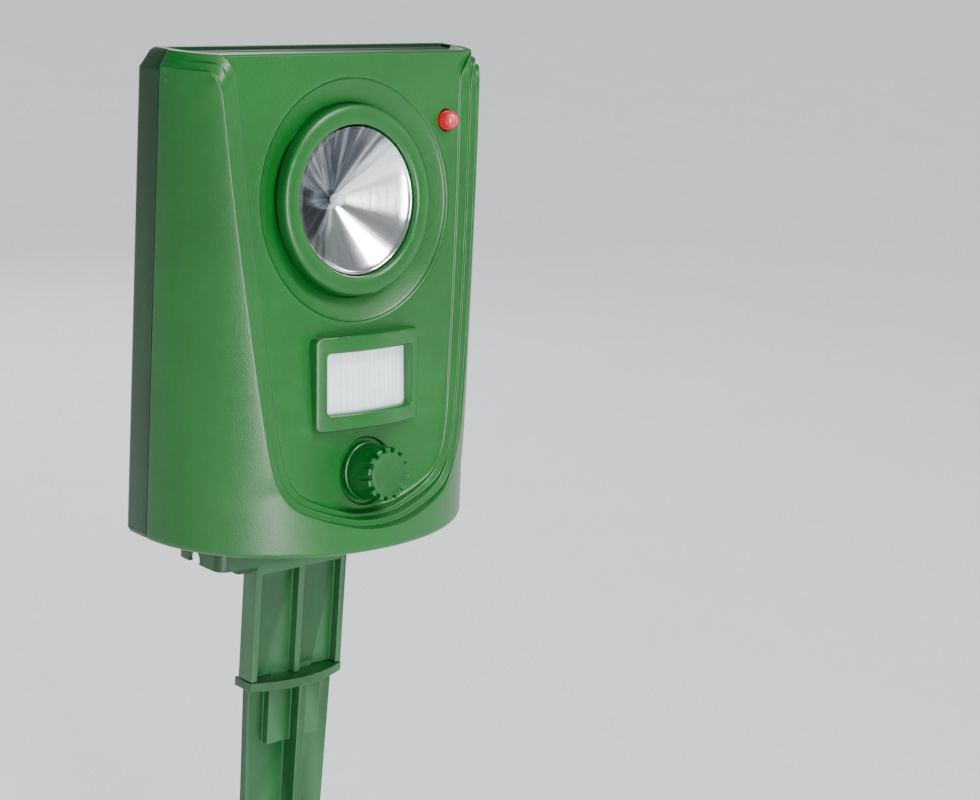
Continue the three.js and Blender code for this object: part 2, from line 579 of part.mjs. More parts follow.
function controlKnob() {
  const skirt = WELL_DEPTH - 0.5;
  const end = skirt - KNOB_LENGTH;
  const body = turned([[0, end], [KNOB_RADIUS - 0.6, end], [KNOB_RADIUS, end + 0.6],
    [KNOB_RADIUS + 0.2, skirt], [0, skirt]], 0, 0, 42);
  const notches = [...Array(KNOB_NOTCHES).keys()].map((i) => {
    const angle = 2 * Math.PI * (i + 0.5) / KNOB_NOTCHES;
    return rodY(0.75, end - 1, end + 3.4, (KNOB_RADIUS + 0.1) * Math.cos(angle),
      (KNOB_RADIUS + 0.1) * Math.sin(angle), 8);
  });
  const socket = rodY(SHAFT_RADIUS + 0.1, end + 2.5, skirt + 1, 0, 0, 20);
  return cut(body, socket, ...notches);
}

const controlShaft = () => join(
  rodY(SHAFT_RADIUS, WELL_DEPTH - KNOB_LENGTH + 2.1, KNOB_SEAT + 0.4, 0, 0, 20),
  rodY(SHAFT_RADIUS - 1.1, KNOB_SEAT, BOARD_BACK - 2.4, 0, 0, 16));

function controlPot() {
  const front = KNOB_SEAT + 0.7;
  const back = BOARD_BACK - CLEAR;
  return cut(join(block(-5.5, 5.5, front, back, -5, 5), rodY(4.4, front - 0.3, back, 0, 0, 20)),
    rodY(SHAFT_RADIUS + 0.1, -1, front + 0.4, 0, 0, 20),
    rodY(SHAFT_RADIUS - 0.9, -1, BOARD_BACK - 2.1, 0, 0, 16));
}

// ---------------------------------------------------------------- circuit board
function circuitBoard() {
  const outline = roundedShape(-BOARD_HALF, BOARD_HALF, BOARD_LOW, BOARD_TOP, 2);
  return cut(prismY(outline, BOARD_BACK, BOARD_BACK + BOARD_THICK, 3),
    ...boardCorners.map(([x, up]) => rodY(1.15, BOARD_BACK - 1, BOARD_BACK + 3, x, up, 12)));
}

function outputCoil() {
  return join(rodY(4.2, -6, 0, 0, 0, 20), rodY(5.2, -6.2, -5, 0, 0, 20),
    rodY(5.2, -1, 0, 0, 0, 20));
}

const capacitor = () => turned([[0, -6.2], [2.1, -6.2], [2.5, -5.8], [2.5, 0], [0, 0]],
  0, 0, 18);

// ---------------------------------------------------------------- battery bay
const cellX = (i) => (i - (CELLS - 1) / 2) * (2 * CELL_RADIUS + CELL_GAP);
const CELL_DEPTH = DOOR_FLOOR + CELL_PLAY + CELL_RADIUS;
const cellLow = BAY_LOW + (BAY_HEIGHT - CELL_LENGTH) / 2;

// cells stand side by side, plus end up and plus end down in turn
function cell() {
  const half = CELL_LENGTH / 2;
  const profile = [[0, -half], [CELL_RADIUS - 0.7, -half], [CELL_RADIUS, -half + 0.7],
    [CELL_RADIUS, half - 2.2], [CELL_RADIUS - 0.8, half - 1.4], [2.7, half - 1.4],
    [2.6, half], [0, half]];
  return turned(profile, 0, 0, 20);
}

function contactPlate(cells) {
  const x0 = cellX(cells[0]) - 4.6;
  const x1 = cellX(cells[cells.length - 1]) + 4.6;
  return prismY(roundedShape(x0, x1, -4.8, 4.8, 1), -0.3, 0, 3);
}

// a conical spring standing on y = 0 and reaching up to y = height
function contactSpring(height) {
  const turns = 3;
  const stepsPerTurn = 11;
  const points = [...Array(turns * stepsPerTurn + 1).keys()].map((i) => {
    const share = i / (turns * stepsPerTurn);
    const angle = 2 * Math.PI * turns * share;
    const radius = 4.2 - 1.8 * share;
    return [radius * Math.cos(angle), 0.35 + (height - 0.7) * share, radius * Math.sin(angle)];
  });
  return wire(points, 0.28, turns * stepsPerTurn);
}

function batteryDoor() {
  const plate = prismY(roundedShape(-DOOR_HALF, DOOR_HALF, 8, DOOR_TOP, 2), -DOOR_THICK, 0, 3);
  const foot = block(-DOOR_HALF, DOOR_HALF, -DOOR_THICK, 0, DOOR_PIVOT_UP, 12);
  const barrel = rodX(DOOR_BARREL, -DOOR_HALF, DOOR_HALF, -DOOR_BARREL, DOOR_PIVOT_UP, 24);
  const pin = rodX(DOOR_PIN, -DOOR_HALF - 1.4, DOOR_HALF + 1.4, -DOOR_BARREL, DOOR_PIVOT_UP, 12);
  const grip = [55.4, 58, 60.6].map((z) => block(-12, 12, -0.5, 1, z - 0.6, z + 0.6));
  return cut(join(plate, foot, barrel, pin), rodY(1.65, -4, 1, 0, DOOR_SCREW_UP, 14),
    rodY(2.7, -1, 1, 0, DOOR_SCREW_UP, 16), ...grip);
}

function doorSeal() {
  const loop = (grow) => roundedShape(-BAY_HALF - grow, BAY_HALF + grow, BAY_LOW - grow,
    BAY_TOP + grow, 1.2);
  return prismY(loop(0.9), -DOOR_FLOOR + 0.03, -DOOR_THICK - 0.03, 2)
    .subtract(prismY(loop(0.1), -DOOR_FLOOR - 1, 0, 2));
}

// ---------------------------------------------------------------- bracket and stake
const PIVOT_UP = HOUSING_UP - PIVOT_DROP;

// two lugs on a plate that is screwed under the housing, in the housing's own frame
function tiltBracket() {
  const y = -STAKE_TO_BACK;
  const outline = (inset) => roundedShape(-BRACKET_HALF + inset, BRACKET_HALF - inset,
    y - BRACKET_FRONT + inset, y + BRACKET_BACK - inset, 3 - inset);
  const tray = cut(prismZ(outline(0), -BRACKET_SKIRT, -FIT, 4),
    prismZ(outline(SKIRT_WALL), -BRACKET_SKIRT - 1, -2 - FIT, 4));
  const lug = (side) => {
    const x = side * (STAKE_HALF + 1 + LUG_THICK / 2);
    const shape = new THREE.Shape();
    shape.moveTo(-LUG_HALF, 0);
    shape.lineTo(-LUG_HALF, -PIVOT_DROP + 2);
    shape.quadraticCurveTo(-LUG_HALF, -PIVOT_DROP - LUG_REACH, 0, -PIVOT_DROP - LUG_REACH);
    shape.quadraticCurveTo(LUG_HALF, -PIVOT_DROP - LUG_REACH, LUG_HALF, -PIVOT_DROP + 2);
    shape.lineTo(LUG_HALF, 0);
    const options = { depth: LUG_THICK, bevelEnabled: false, curveSegments: 6 };
    const ear = new THREE.ExtrudeGeometry(shape, options).translate(0, 0, -LUG_THICK / 2);
    return solid(ear.rotateX(Math.PI / 2).rotateZ(Math.PI / 2).translate(x, y, -1));
  };
  const body = join(tray, lug(-1), lug(1));
  return cut(body, rodX(2.2, -FAR, FAR, y, -PIVOT_DROP, 16),
    ...[-1, 1].map((side) => rodZ(1.7, -4, 1, side * BRACKET_SCREW_X, BRACKET_SCREW_Y, 12)));
}

function stakeUpper() {
  const low = STOP_UP + FIT;
  const neck = PIVOT_UP - 6.5;
  const half = STAKE_HALF - 0.4;
  const web = block(-half, half, -STAKE_WEB / 2, STAKE_WEB / 2, low, neck + 2);
  const ribs = [-half + 0.9, 0, half - 0.9].map((x) =>
    block(x - 0.9, x + 0.9, -STAKE_RIB, STAKE_WEB / 2 + 0.7, low, neck + 2));
  const head = join(rodX(4.5, -half, half, 0, PIVOT_UP, 24),
    block(-half, half, -3.6, 3.6, neck, PIVOT_UP));
  const tongueDown = block(-6.6, 6.6, -1.4, 1.4, STOP_UP - 15, low + 1);
  return cut(join(web, ...ribs, head, tongueDown),
    rodX(2.2, -FAR, FAR, 0, PIVOT_UP, 16));
}

// the spike: a stop plate, a socket under it and two crossed blades down to a point
function stakeSpike() {
  const side = STAKE_HALF - 0.2;
  const brow = STAKE_RIB + STOP_BULGE;
  const plateShape = new THREE.Shape();
  plateShape.moveTo(-side, -STAKE_RIB);
  plateShape.quadraticCurveTo(-side / 2, -brow, 0, -brow);
  plateShape.quadraticCurveTo(side / 2, -brow, side, -STAKE_RIB);
  plateShape.lineTo(side, 3);
  plateShape.lineTo(-side, 3);
  const plate = prismZ(plateShape, STOP_UP - STOP_THICK, STOP_UP, 10);
  const hub = block(-8.4, 8.4, -3.4, 3.4, STOP_UP - 18, STOP_UP - 1);
  const blade = (half, thick) => {
    const outline = outlineShape([[-half, STOP_UP - 1], [-half * 0.92, -30],
      [-half * 0.6, -SPIKE_LENGTH + 34], [-0.7, -SPIKE_LENGTH], [0.7, -SPIKE_LENGTH],
      [half * 0.6, -SPIKE_LENGTH + 34], [half * 0.92, -30], [half, STOP_UP - 1]]);
    return prismY(outline, -thick / 2, thick / 2, 1);
  };
  const wide = blade(STAKE_HALF - 1.4, 2.4);
  const deep = blade(6.6, 2.4).rotate([0, 0, 90]);
  const web = prismZ(roundedShape(-12, 12, -5.4, 5.4, 3), -28, -26.2, 3);
  return cut(join(plate, hub, wide, deep, web),
    block(-6.6 - FIT, 6.6 + FIT, -1.4 - FIT, 1.4 + FIT, STOP_UP - 15.3, STOP_UP + 1));
}

// bolt through both lugs and the stake's head, along X, head on the left
function tiltBolt() {
  const end = STAKE_HALF + 1 + LUG_THICK;
  return join(rodX(1.95, -end - 1, end + 5.2, 0, 0, 16), rodX(3.9, -end - 3.1, -end - 0.3, 0, 0, 6));
}

function tiltNut() {
  const end = STAKE_HALF + 1 + LUG_THICK;
  return cut(rodX(3.9, end + 1.4, end + 4.4, 0, 0, 6), rodX(2.05, -FAR, FAR, 0, 0, 16));
}

const washer = (x0) => cut(rodX(4.4, x0, x0 + 0.8, 0, 0, 20), rodX(2.1, -FAR, FAR, 0, 0, 16));

// ---------------------------------------------------------------- assembly
const object = new THREE.Group();
const housing = new THREE.Group();
housing.position.set(0, STAKE_TO_BACK, HOUSING_UP);
const face = new THREE.Group();
face.position.copy(faceOrigin);
face.rotation.x = -FACE_TILT;
housing.add(face);
object.add(housing);

function place(parent, mesh, x = 0, y = 0, z = 0) {
  mesh.position.set(x, y, z);
  parent.add(mesh);
  return mesh;
}

function addHousing() {
  place(housing, meshOf('front_shell', frontShell(), greenFront));
  place(housing, meshOf('rear_shell', rearShell(), greenRear));
  place(housing, meshOf('housing_seal', housingSeal(), rubber));
  corners.forEach(([x, z], i) => {
    const body = screw(12, SCREW_RADIUS, SCREW_HEAD, 1.9);
    place(housing, meshOf(`housing_screw_${i + 1}`, body, steel), x, -1.9, z);
  });
}

function addSpeaker() {
  const names = [['speaker_bezel', speakerBezel, greenFront], ['speaker_cone', speakerCone, polished],
    ['speaker_frame', speakerFrame, blackPlastic], ['speaker_piezo', piezoDisc, brass],
    ['speaker_bead', speakerBead, clearBead]];
  for (const [name, make, material] of names) {
    place(face, meshOf(name, make(), material), 0, 0, SPEAKER_UP);
  }
  speakerCorners.forEach(([x, up], i) => {
    const body = screw(5.2, 0.75, 1.7, 1.1, 0.22);
    place(face, meshOf(`speaker_screw_${i + 1}`, body, steel), x, SPEAKER_SEAT + 1.5 + 1.4, up);
  });
}

function addFaceFittings() {
  place(face, meshOf('motion_hood', motionHood(), greenFront));
  place(face, meshOf('motion_lens', motionLens(), lensWhite));
  place(face, meshOf('motion_sensor', motionSensor(), steel), 0, BOARD_BACK - CLEAR - 4.2, WINDOW_UP - 1.4);
  place(face, meshOf('indicator_led', indicatorLed(), ledRed), LED_ACROSS, 0, LED_UP);
  place(face, meshOf('control_knob', controlKnob(), greenKnob), 0, 0, KNOB_UP);
  place(face, meshOf('control_shaft', controlShaft(), steel), 0, 0, KNOB_UP);
  place(face, meshOf('control_pot', controlPot(), blackPlastic), 0, 0, KNOB_UP);
}

function addBoard() {
  place(face, meshOf('circuit_board', circuitBoard(), boardGreen));
  boardCorners.forEach(([x, up], i) => {
    const body = screw(6.4, 0.75, 1.9, 1.1, 0.22);
    place(face, meshOf(`board_screw_${i + 1}`, body, steel), x, BOARD_BACK + BOARD_THICK + 1.25, up);
  });
  const front = BOARD_BACK - FIT;
  place(face, meshOf('timer_chip', block(-5, 5, -1.8, 0, -2, 2), blackPlastic), -17, front, 26);
  place(face, meshOf('output_coil', outputCoil(), copper), 17, front, 28);
  place(face, meshOf('capacitor', capacitor(), blackPlastic), -17, front, 36);
}

function addBatteries() {
  const plateTop = BAY_TOP - 0.1;
  const plateLow = BAY_LOW + 0.1;
  const plates = [['contact_plate_1', [0], false], ['contact_plate_2', [1, 2], false],
    ['contact_plate_3', [3], false], ['contact_plate_4', [0, 1], true],
    ['contact_plate_5', [2, 3], true]];
  for (const [name, cells, above] of plates) {
    const mesh = place(housing, meshOf(name, contactPlate(cells), steel), 0, -CELL_DEPTH,
      above ? plateTop : plateLow);
    mesh.rotation.x = above ? Math.PI / 2 : -Math.PI / 2;
  }
  for (let i = 0; i < CELLS; i += 1) {
    const plusUp = i % 2 === 0;
    const turn = plusUp ? Math.PI / 2 : -Math.PI / 2;
    const battery = place(housing, meshOf(`battery_${i + 1}`, cell(), cellSleeve),
      cellX(i), -CELL_DEPTH, cellLow + CELL_LENGTH / 2);
    battery.rotation.x = turn;
    const height = cellLow - plateLow - 0.3 - 0.2;
    const base = plusUp ? plateLow + 0.35 : plateTop - 0.35;
    const spring = place(housing, meshOf(`contact_spring_${i + 1}`, contactSpring(height), steel),
      cellX(i), -CELL_DEPTH, base);
    spring.rotation.x = turn;
  }
  place(housing, meshOf('battery_door', batteryDoor(), greenRear));
  place(housing, meshOf('door_seal', doorSeal(), rubber));
  place(housing, meshOf('door_screw', screw(4.7, 1, 2.4, 0.9), steel), 0, -0.1, DOOR_SCREW_UP);
}

function addWires() {
  const toFace = (x, y, up) => new THREE.Vector3(x, y, up).applyMatrix4(faceMatrix).toArray();
  for (const [side, material, colour] of [[-1, wireBlack, 'black'], [1, wireRed, 'red']]) {
    const speakerRoute = [toFace(side * 6, 13.4, SPEAKER_UP - 5),
      toFace(side * 6.2, 15.4, SPEAKER_UP - 8.6), toFace(side * 7.4, 13, SPEAKER_UP - 12),
      toFace(side * 9, 9.2, SPEAKER_UP - 14.9), toFace(side * 12, 8.5, SPEAKER_UP - 22),
      toFace(side * 13, 8.5, BOARD_TOP + 2), toFace(side * 13, 8.4, BOARD_TOP - 4)];
    place(housing, meshOf(`speaker_wire_${colour}`, wire(speakerRoute, 0.6, 24), material));
    const batteryRoute = [[side * 25, -BAY_DEPTH - 0.2, BAY_LOW + 2],
      [side * 25.2, -BAY_DEPTH - 2.6, BAY_LOW + 2.2],
      [side * 29, -BAY_DEPTH - 3.6, BAY_LOW + 5], [side * 31.2, -BAY_DEPTH - 4, BAY_LOW + 12],
      toFace(side * 31.2, BOARD_BACK - 1, 22), toFace(side * 27.6, BOARD_BACK - 1.6, 25)];
    place(housing, meshOf(`battery_wire_${colour}`, wire(batteryRoute, 0.6, 24), material));
  }
  const ledRoute = [toFace(LED_ACROSS, 6.2, LED_UP), toFace(LED_ACROSS + 1, 8, LED_UP - 5),
    toFace(LED_ACROSS + 3, 9, SPEAKER_UP), toFace(LED_ACROSS + 2, 8.8, SPEAKER_UP - 20),
    toFace(BOARD_HALF - 3, 8.2, BOARD_TOP + 4), toFace(BOARD_HALF - 9, 8.1, BOARD_TOP - 2)];
  place(housing, meshOf('led_wire', wire(ledRoute, 0.9, 28), wireBlack));
}

function addStake() {
  place(housing, meshOf('tilt_bracket', tiltBracket(), greenRear));
  [-1, 1].forEach((side, i) => {
    const mesh = place(housing, meshOf(`bracket_screw_${i + 1}`, screw(7.6, 1.4, 2.9, 1.9), steel),
      side * BRACKET_SCREW_X, BRACKET_SCREW_Y, -4.2);
    mesh.rotation.x = -Math.PI / 2;
  });
  place(object, meshOf('stake_upper', stakeUpper(), greenStake));
  place(object, meshOf('stake_spike', stakeSpike(), greenStake));
  const end = STAKE_HALF + 1 + LUG_THICK;
  place(object, meshOf('tilt_bolt', tiltBolt(), steel), 0, 0, PIVOT_UP);
  place(object, meshOf('tilt_nut', tiltNut(), steel), 0, 0, PIVOT_UP);
  place(object, meshOf('tilt_washer', washer(end + 0.3), steel), 0, 0, PIVOT_UP);
}

addHousing();
addSpeaker();
addFaceFittings();
addBoard();
addBatteries();
addWires();
addStake();

export default object;
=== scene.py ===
"""Looks of the garden pest repeller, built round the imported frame.

Shapes are worked out in millimetres, in one of three frames: the object's own, the frame of the
housing's leaning face (across, inward, and up along the face), or the housing's upright one
(across, depth from the back, height over the underside).
"""

import json
import math

import bmesh
import bpy
import numpy as np
from mathutils import Matrix, Vector
from mathutils.geometry import delaunay_2d_cdt


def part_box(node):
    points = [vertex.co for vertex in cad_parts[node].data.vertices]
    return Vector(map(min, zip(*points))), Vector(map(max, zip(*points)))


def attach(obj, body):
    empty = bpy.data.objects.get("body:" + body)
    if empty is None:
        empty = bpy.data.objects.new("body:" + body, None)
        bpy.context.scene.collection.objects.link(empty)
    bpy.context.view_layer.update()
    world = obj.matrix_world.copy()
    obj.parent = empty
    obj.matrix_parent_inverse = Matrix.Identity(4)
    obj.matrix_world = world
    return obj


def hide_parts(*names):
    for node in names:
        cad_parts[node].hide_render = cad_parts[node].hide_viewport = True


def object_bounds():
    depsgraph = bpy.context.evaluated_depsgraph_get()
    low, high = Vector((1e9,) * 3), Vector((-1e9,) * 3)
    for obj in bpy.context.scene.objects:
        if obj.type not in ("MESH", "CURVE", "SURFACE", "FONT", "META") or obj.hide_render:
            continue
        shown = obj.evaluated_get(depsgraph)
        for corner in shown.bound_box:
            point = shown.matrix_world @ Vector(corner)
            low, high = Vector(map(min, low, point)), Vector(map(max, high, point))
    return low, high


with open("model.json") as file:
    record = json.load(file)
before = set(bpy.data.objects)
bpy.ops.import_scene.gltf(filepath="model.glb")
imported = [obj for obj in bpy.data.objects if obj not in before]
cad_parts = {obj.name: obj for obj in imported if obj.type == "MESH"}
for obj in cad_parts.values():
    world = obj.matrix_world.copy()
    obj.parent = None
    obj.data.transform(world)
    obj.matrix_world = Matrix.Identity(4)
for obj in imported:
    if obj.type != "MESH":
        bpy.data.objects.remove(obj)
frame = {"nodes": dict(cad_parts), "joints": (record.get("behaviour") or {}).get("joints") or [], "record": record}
cad_low, cad_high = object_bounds()

M = 0.001


def box_mm(node):
    """Lowest and highest corner of a CAD node, in millimetres."""
    low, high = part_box(node)
    return np.array(low) / M, np.array(high) / M


# ---------------------------------------------------------------- places, from the frame
JOINT = {j["name"]: j for j in frame["joints"]}
shell_low, shell_high = box_mm("front_shell")
HOUSING_UP = shell_low[2]
HOUSING_HEIGHT = shell_high[2] - shell_low[2]
# the rounded front: half width and depth at the foot and at the top, in plan a superellipse
HALF_BOTTOM = 46.0
HALF_TOP = 47.4
DEPTH_BOTTOM = 44.0
DEPTH_TOP = 34.2
BACK_Y = box_mm("battery_door")[1][1]
SEAM_Y = shell_high[1]
SIDE_STRAIGHT = 6.4         # flat part of each side, from the back
PLAN_POWER = 2.1            # n of the superellipse
JACKET_TOP = HOUSING_HEIGHT - 3.7
MIDDLE_TOP = HOUSING_HEIGHT - 1.9
STEP_IN = 1.05              # each step's outline inside the one before
FOOT_ROUND = 1.4

knob_axis = np.array(JOINT["knob_turn"]["axis"])
TILT = math.atan2(knob_axis[2], -knob_axis[1])
FACE_UP = np.array([0, math.sin(TILT), math.cos(TILT)])
FACE_IN = np.array([0, math.cos(TILT), -math.sin(TILT)])
knob_point = np.array(JOINT["knob_turn"]["pos_m"]) / M
FACE_FOOT = knob_point - FACE_UP * (knob_point[2] - HOUSING_UP) / FACE_UP[2]


def to_object(points):
    """Face coordinates (across, inward, up) to the object's frame."""
    p = np.asarray(points, float)
    return FACE_FOOT + p[..., :1] * [1, 0, 0] + p[..., 1:2] * FACE_IN + p[..., 2:3] * FACE_UP


def to_face(points):
    """The object's frame to face coordinates."""
    p = np.asarray(points, float) - FACE_FOOT
    return np.stack([p[..., 0], p @ FACE_IN, p @ FACE_UP], -1)


def face_centre(node):
    """Middle of a CAD node's box, in face coordinates."""
    low, high = box_mm(node)
    return to_face((low + high) / 2)


SPEAKER_UP = face_centre("speaker_bezel")[2]
KNOB_UP = to_face(knob_point)[2]
LED_ACROSS, _, LED_UP = face_centre("indicator_led")
WINDOW_UP = face_centre("motion_hood")[2] - 0.35
DISH_RADIUS = 29.3
BEZEL_RADIUS = 22.9
CONE_RADIUS = 17.9
CONE_DEPTH = 9.5
WELL_RADIUS = 8.4
LED_RADIUS = 2.5
HOOD_WIDTH, HOOD_HEIGHT = 32.4, 22.8
WINDOW_WIDTH, WINDOW_HEIGHT = 26.4, 14.6
FACE_SINK = 0.6             # depth of the flat face behind its frame's zero


# ---------------------------------------------------------------- camera, lights and floor
def add_camera():
    """A long lens a little above the housing and to its left, turned slightly."""
    right = Vector((0.7209, -0.6892, 0.0726))
    up = Vector((0.1173, 0.2245, 0.9674))
    back = right.cross(up)
    place = Vector((-0.3512, BACK_Y * M - 0.4294, HOUSING_UP * M + 0.1693))
    data = bpy.data.cameras.new("camera")
    data.sensor_width = 36
    data.lens = 83.06
    data.clip_start = 0.01
    camera = bpy.data.objects.new("camera", data)
    camera.matrix_world = Matrix((
        (right.x, up.x, back.x, place.x), (right.y, up.y, back.y, place.y),
        (right.z, up.z, back.z, place.z), (0, 0, 0, 1)))
    bpy.context.scene.collection.objects.link(camera)
    bpy.context.scene.camera = camera


def add_light(name, place, aim, size, power):
    """A rectangular lamp at place, turned to aim: metres and watts."""
    data = bpy.data.lights.new(name, "AREA")
    data.shape = "RECTANGLE"
    data.size, data.size_y = size
    data.energy = power
    light = bpy.data.objects.new(name, data)
    light.location = place
    light.rotation_euler = (Vector(aim) - Vector(place)).to_track_quat("-Z", "Y").to_euler()
    bpy.context.scene.collection.objects.link(light)


def add_studio():
    """A pale sky, a broad sun from the front right, a tall strip at the front left, and two
    fills, one at the right and one behind."""
    world = bpy.data.worlds.new("studio")
    world.use_nodes = True
    sky = world.node_tree.nodes["Background"]
    sky.inputs["Color"].default_value = (0.93, 0.97, 1, 1)
    sky.inputs["Strength"].default_value = 0.24
    bpy.context.scene.world = world
    data = bpy.data.lights.new("sky", "SUN")
    data.angle = math.radians(24)
    data.energy = 3.5
    sun = bpy.data.objects.new("sky", data)
    sun.rotation_euler = Vector((-0.26, 0.56, -0.79)).to_track_quat("-Z", "Y").to_euler()
    bpy.context.scene.collection.objects.link(sun)
    middle = (0, -0.01, 0.1)
    add_light("strip", (-0.4, -0.84, 0.2), middle, (0.16, 0.64), 11)
    add_light("right", (0.85, -0.6, 0.3), middle, (0.3, 0.7), 1.5)
    add_light("back", (0.3, 1.0, 0.5), middle, (0.9, 0.7), 4)


# ---------------------------------------------------------------- shader sums
class Value:
    """One socket of a material, so that sums on values are written as Python expressions."""

    def __init__(self, finish, socket):
        self.finish = finish
        self.socket = socket

    def _sum(self, operation, *terms):
        """One Math node."""
        return self.finish.node("ShaderNodeMath", {"operation": operation}, *terms)[0]

    def __add__(self, other):
        return self._sum("ADD", self, other)

    def __sub__(self, other):
        return self._sum("SUBTRACT", self, other)

    def __rsub__(self, other):
        return self._sum("SUBTRACT", other, self)

    def __mul__(self, other):
        return self._sum("MULTIPLY", self, other)

    def step(self, low, high, to_low=0.0, to_high=1.0):
        """Smooth rise from to_low to to_high while this goes from low to high."""
        settings = {"interpolation_type": "SMOOTHSTEP"}
        return self.finish.node("ShaderNodeMapRange", settings, self, low, high, to_low, to_high)[0]

    def sine(self):
        """Sine of this, in radians."""
        return self._sum("SINE", self)

    def size(self):
        """This without its sign."""
        return self._sum("ABSOLUTE", self)

    __radd__ = __add__
    __rmul__ = __mul__


class Finish:
    """A material and the one way its nodes are added."""

    def __init__(self, name, roughness=0.5, metallic=0.0, **fixed):
        self.material = bpy.data.materials.new(name)
        self.material.use_nodes = True
        self.tree = self.material.node_tree
        self.shader = self.tree.nodes["Principled BSDF"]
        self.shader.inputs["Roughness"].default_value = roughness
        self.shader.inputs["Metallic"].default_value = metallic
        for key, value in fixed.items():
            self.shader.inputs[key.replace("_", " ").title()].default_value = value

    def node(self, kind, settings, *inputs, **named):
        """Adds a node: its settings first, then values or links of its sockets. Returns its outputs."""
        made = self.tree.nodes.new(kind)
        for key, value in settings.items():
            setattr(made, key, value)
        pairs = list(enumerate(inputs)) + [(k.replace("_", " "), v) for k, v in named.items()]
        for key, value in pairs:
            if isinstance(value, Value):
                self.tree.links.new(value.socket, made.inputs[key])
            elif value is not None:
                made.inputs[key].default_value = value
        return [Value(self, s) for s in made.outputs if s.enabled]

    def place(self, scale=1.0):
        """Object coordinates, in millimetres times scale."""
        point = self.node("ShaderNodeTexCoord", {})[3]
        settings = {"operation": "SCALE"}
        return self.node("ShaderNodeVectorMath", settings, point, Scale=scale / M)[0]

    def parts(self, vector):
        """X, Y and Z of a vector."""
        return self.node("ShaderNodeSeparateXYZ", {}, vector)

    def noise(self, vector, scale, detail=2.0, roughness=0.5):
        """Noise with features 1/scale across, from 0 to 1."""
        return self.node("ShaderNodeTexNoise", {}, vector, Scale=scale, Detail=detail,
                         Roughness=roughness)[0]

    def mix(self, share, one, two):
        """Colour one turning into colour two as share goes from 0 to 1."""
        made = self.tree.nodes.new("ShaderNodeMix")
        made.data_type = "RGBA"
        for key, value in ((0, share), (6, one), (7, two)):
            if isinstance(value, Value):
                self.tree.links.new(value.socket, made.inputs[key])
            elif key == 0:
                made.inputs[key].default_value = value
            else:
                made.inputs[key].default_value = (*value, 1)
        return Value(self, made.outputs[2])

    def bump(self, height, distance, strength=1.0):
        """Relief of the given height, distance in millimetres."""
        out = self.node("ShaderNodeBump", {}, Strength=strength, Distance=distance * M,
                        Height=height)[0]
        self.set("Normal", out)

    def set(self, name, value):
        """Links or sets one input of the shader; a colour is three linear values."""
        if isinstance(value, Value):
            self.tree.links.new(value.socket, self.shader.inputs[name])
        elif hasattr(value, "__len__"):
            self.shader.inputs[name].default_value = (*value, 1)
        else:
            self.shader.inputs[name].default_value = value


def linear(red, green, blue):
    """A colour given as 0 to 255 levels, as the shader's linear values."""
    def level(c):
        """One channel, by the sRGB curve."""
        c /= 255
        return c / 12.92 if c <= 0.04045 else ((c + 0.055) / 1.055) ** 2.4
    return tuple(level(c) for c in (red, green, blue))


# ---------------------------------------------------------------- finishes
def moulded_green(name, base, deep, pale, grain, roughness=0.34):
    """Moulded plastic: spark-eroded grain, slow changes of tone and paler rubbed edges."""
    f = Finish(name, roughness, coat_weight=0.1, coat_roughness=0.25)
    at = f.place()
    tone = f.noise(at, 0.035, 3)
    cloud = f.noise(at, 0.4, 2)
    fine = f.noise(at, 2.6, 2, 0.6)
    pale = linear(*pale)
    body = f.mix(tone.step(0.3, 0.75), linear(*deep), linear(*base))
    body = f.mix(cloud.step(0.4, 0.9) * 0.06, body, pale)
    pointiness = f.node("ShaderNodeNewGeometry", {})[7]
    rub = pointiness.step(0.53, 0.62)
    f.set("Base Color", f.mix(rub * 0.35, body, pale))
    f.set("Roughness", roughness - 0.08 + fine * 0.14 + cloud * 0.06)
    f.bump(fine * 0.7 + f.noise(at, 5.5, 1) * 0.3, grain)
    return f.material


def spun_metal(name):
    """Bright spun aluminium: fine rings, and a painted reflection in its colour over the piece's own UV: a bright
    lobe round the turn and faint radial streaks.
    """
    f = Finish(name, 0.16, 1.0)
    uv = f.node("ShaderNodeTexCoord", {})[2]
    turn, along, _ = f.parts(uv)
    rings = f.noise(f.node("ShaderNodeCombineXYZ", {}, turn * 2.0, along * 90.0, 0.0)[0], 1.0, 2)
    rays = f.noise(f.node("ShaderNodeCombineXYZ", {}, turn * 46.0, along * 1.2, 0.0)[0], 1.0, 2)
    # painted reflection: colour bright towards the lower right and dark towards the upper left round the turn, the
    # rays adding radial streaks of it; the rays also vary roughness and bump
    painted_reflection_lobe = (turn * (2 * math.pi) + 2.3).sine() + (turn * (6 * math.pi) + 0.6).sine() * 0.35
    painted_reflection_tone = painted_reflection_lobe * 0.45 + rays * 1.3
    f.set("Base Color", f.mix(painted_reflection_tone.step(0.15, 1.0), linear(74, 78, 86), linear(238, 240, 242)))
    f.set("Roughness", 0.08 + rings * 0.08 + rays * 0.06)
    f.bump(rings * 0.5 + rays * 0.5, 0.03)
    return f.material


def bright_steel(name, tint=(176, 178, 180), roughness=0.28):
    """Zinc-plated steel, cloudy and lightly scratched."""
    f = Finish(name, roughness, 1.0)
    at = f.place()
    cloud = f.noise(at, 0.5, 3)
    scratch = f.noise(f.node("ShaderNodeVectorMath", {"operation": "MULTIPLY"}, at,
                             (0.25, 3.0, 3.0))[0], 1.6, 2)
    pale = linear(*tint)
    f.set("Base Color", f.mix(cloud.step(0.3, 0.7), tuple(0.72 * c for c in pale), pale))
    f.set("Roughness", roughness + cloud * 0.16 - scratch * 0.06)
    f.bump(scratch, 0.02)
    return f.material


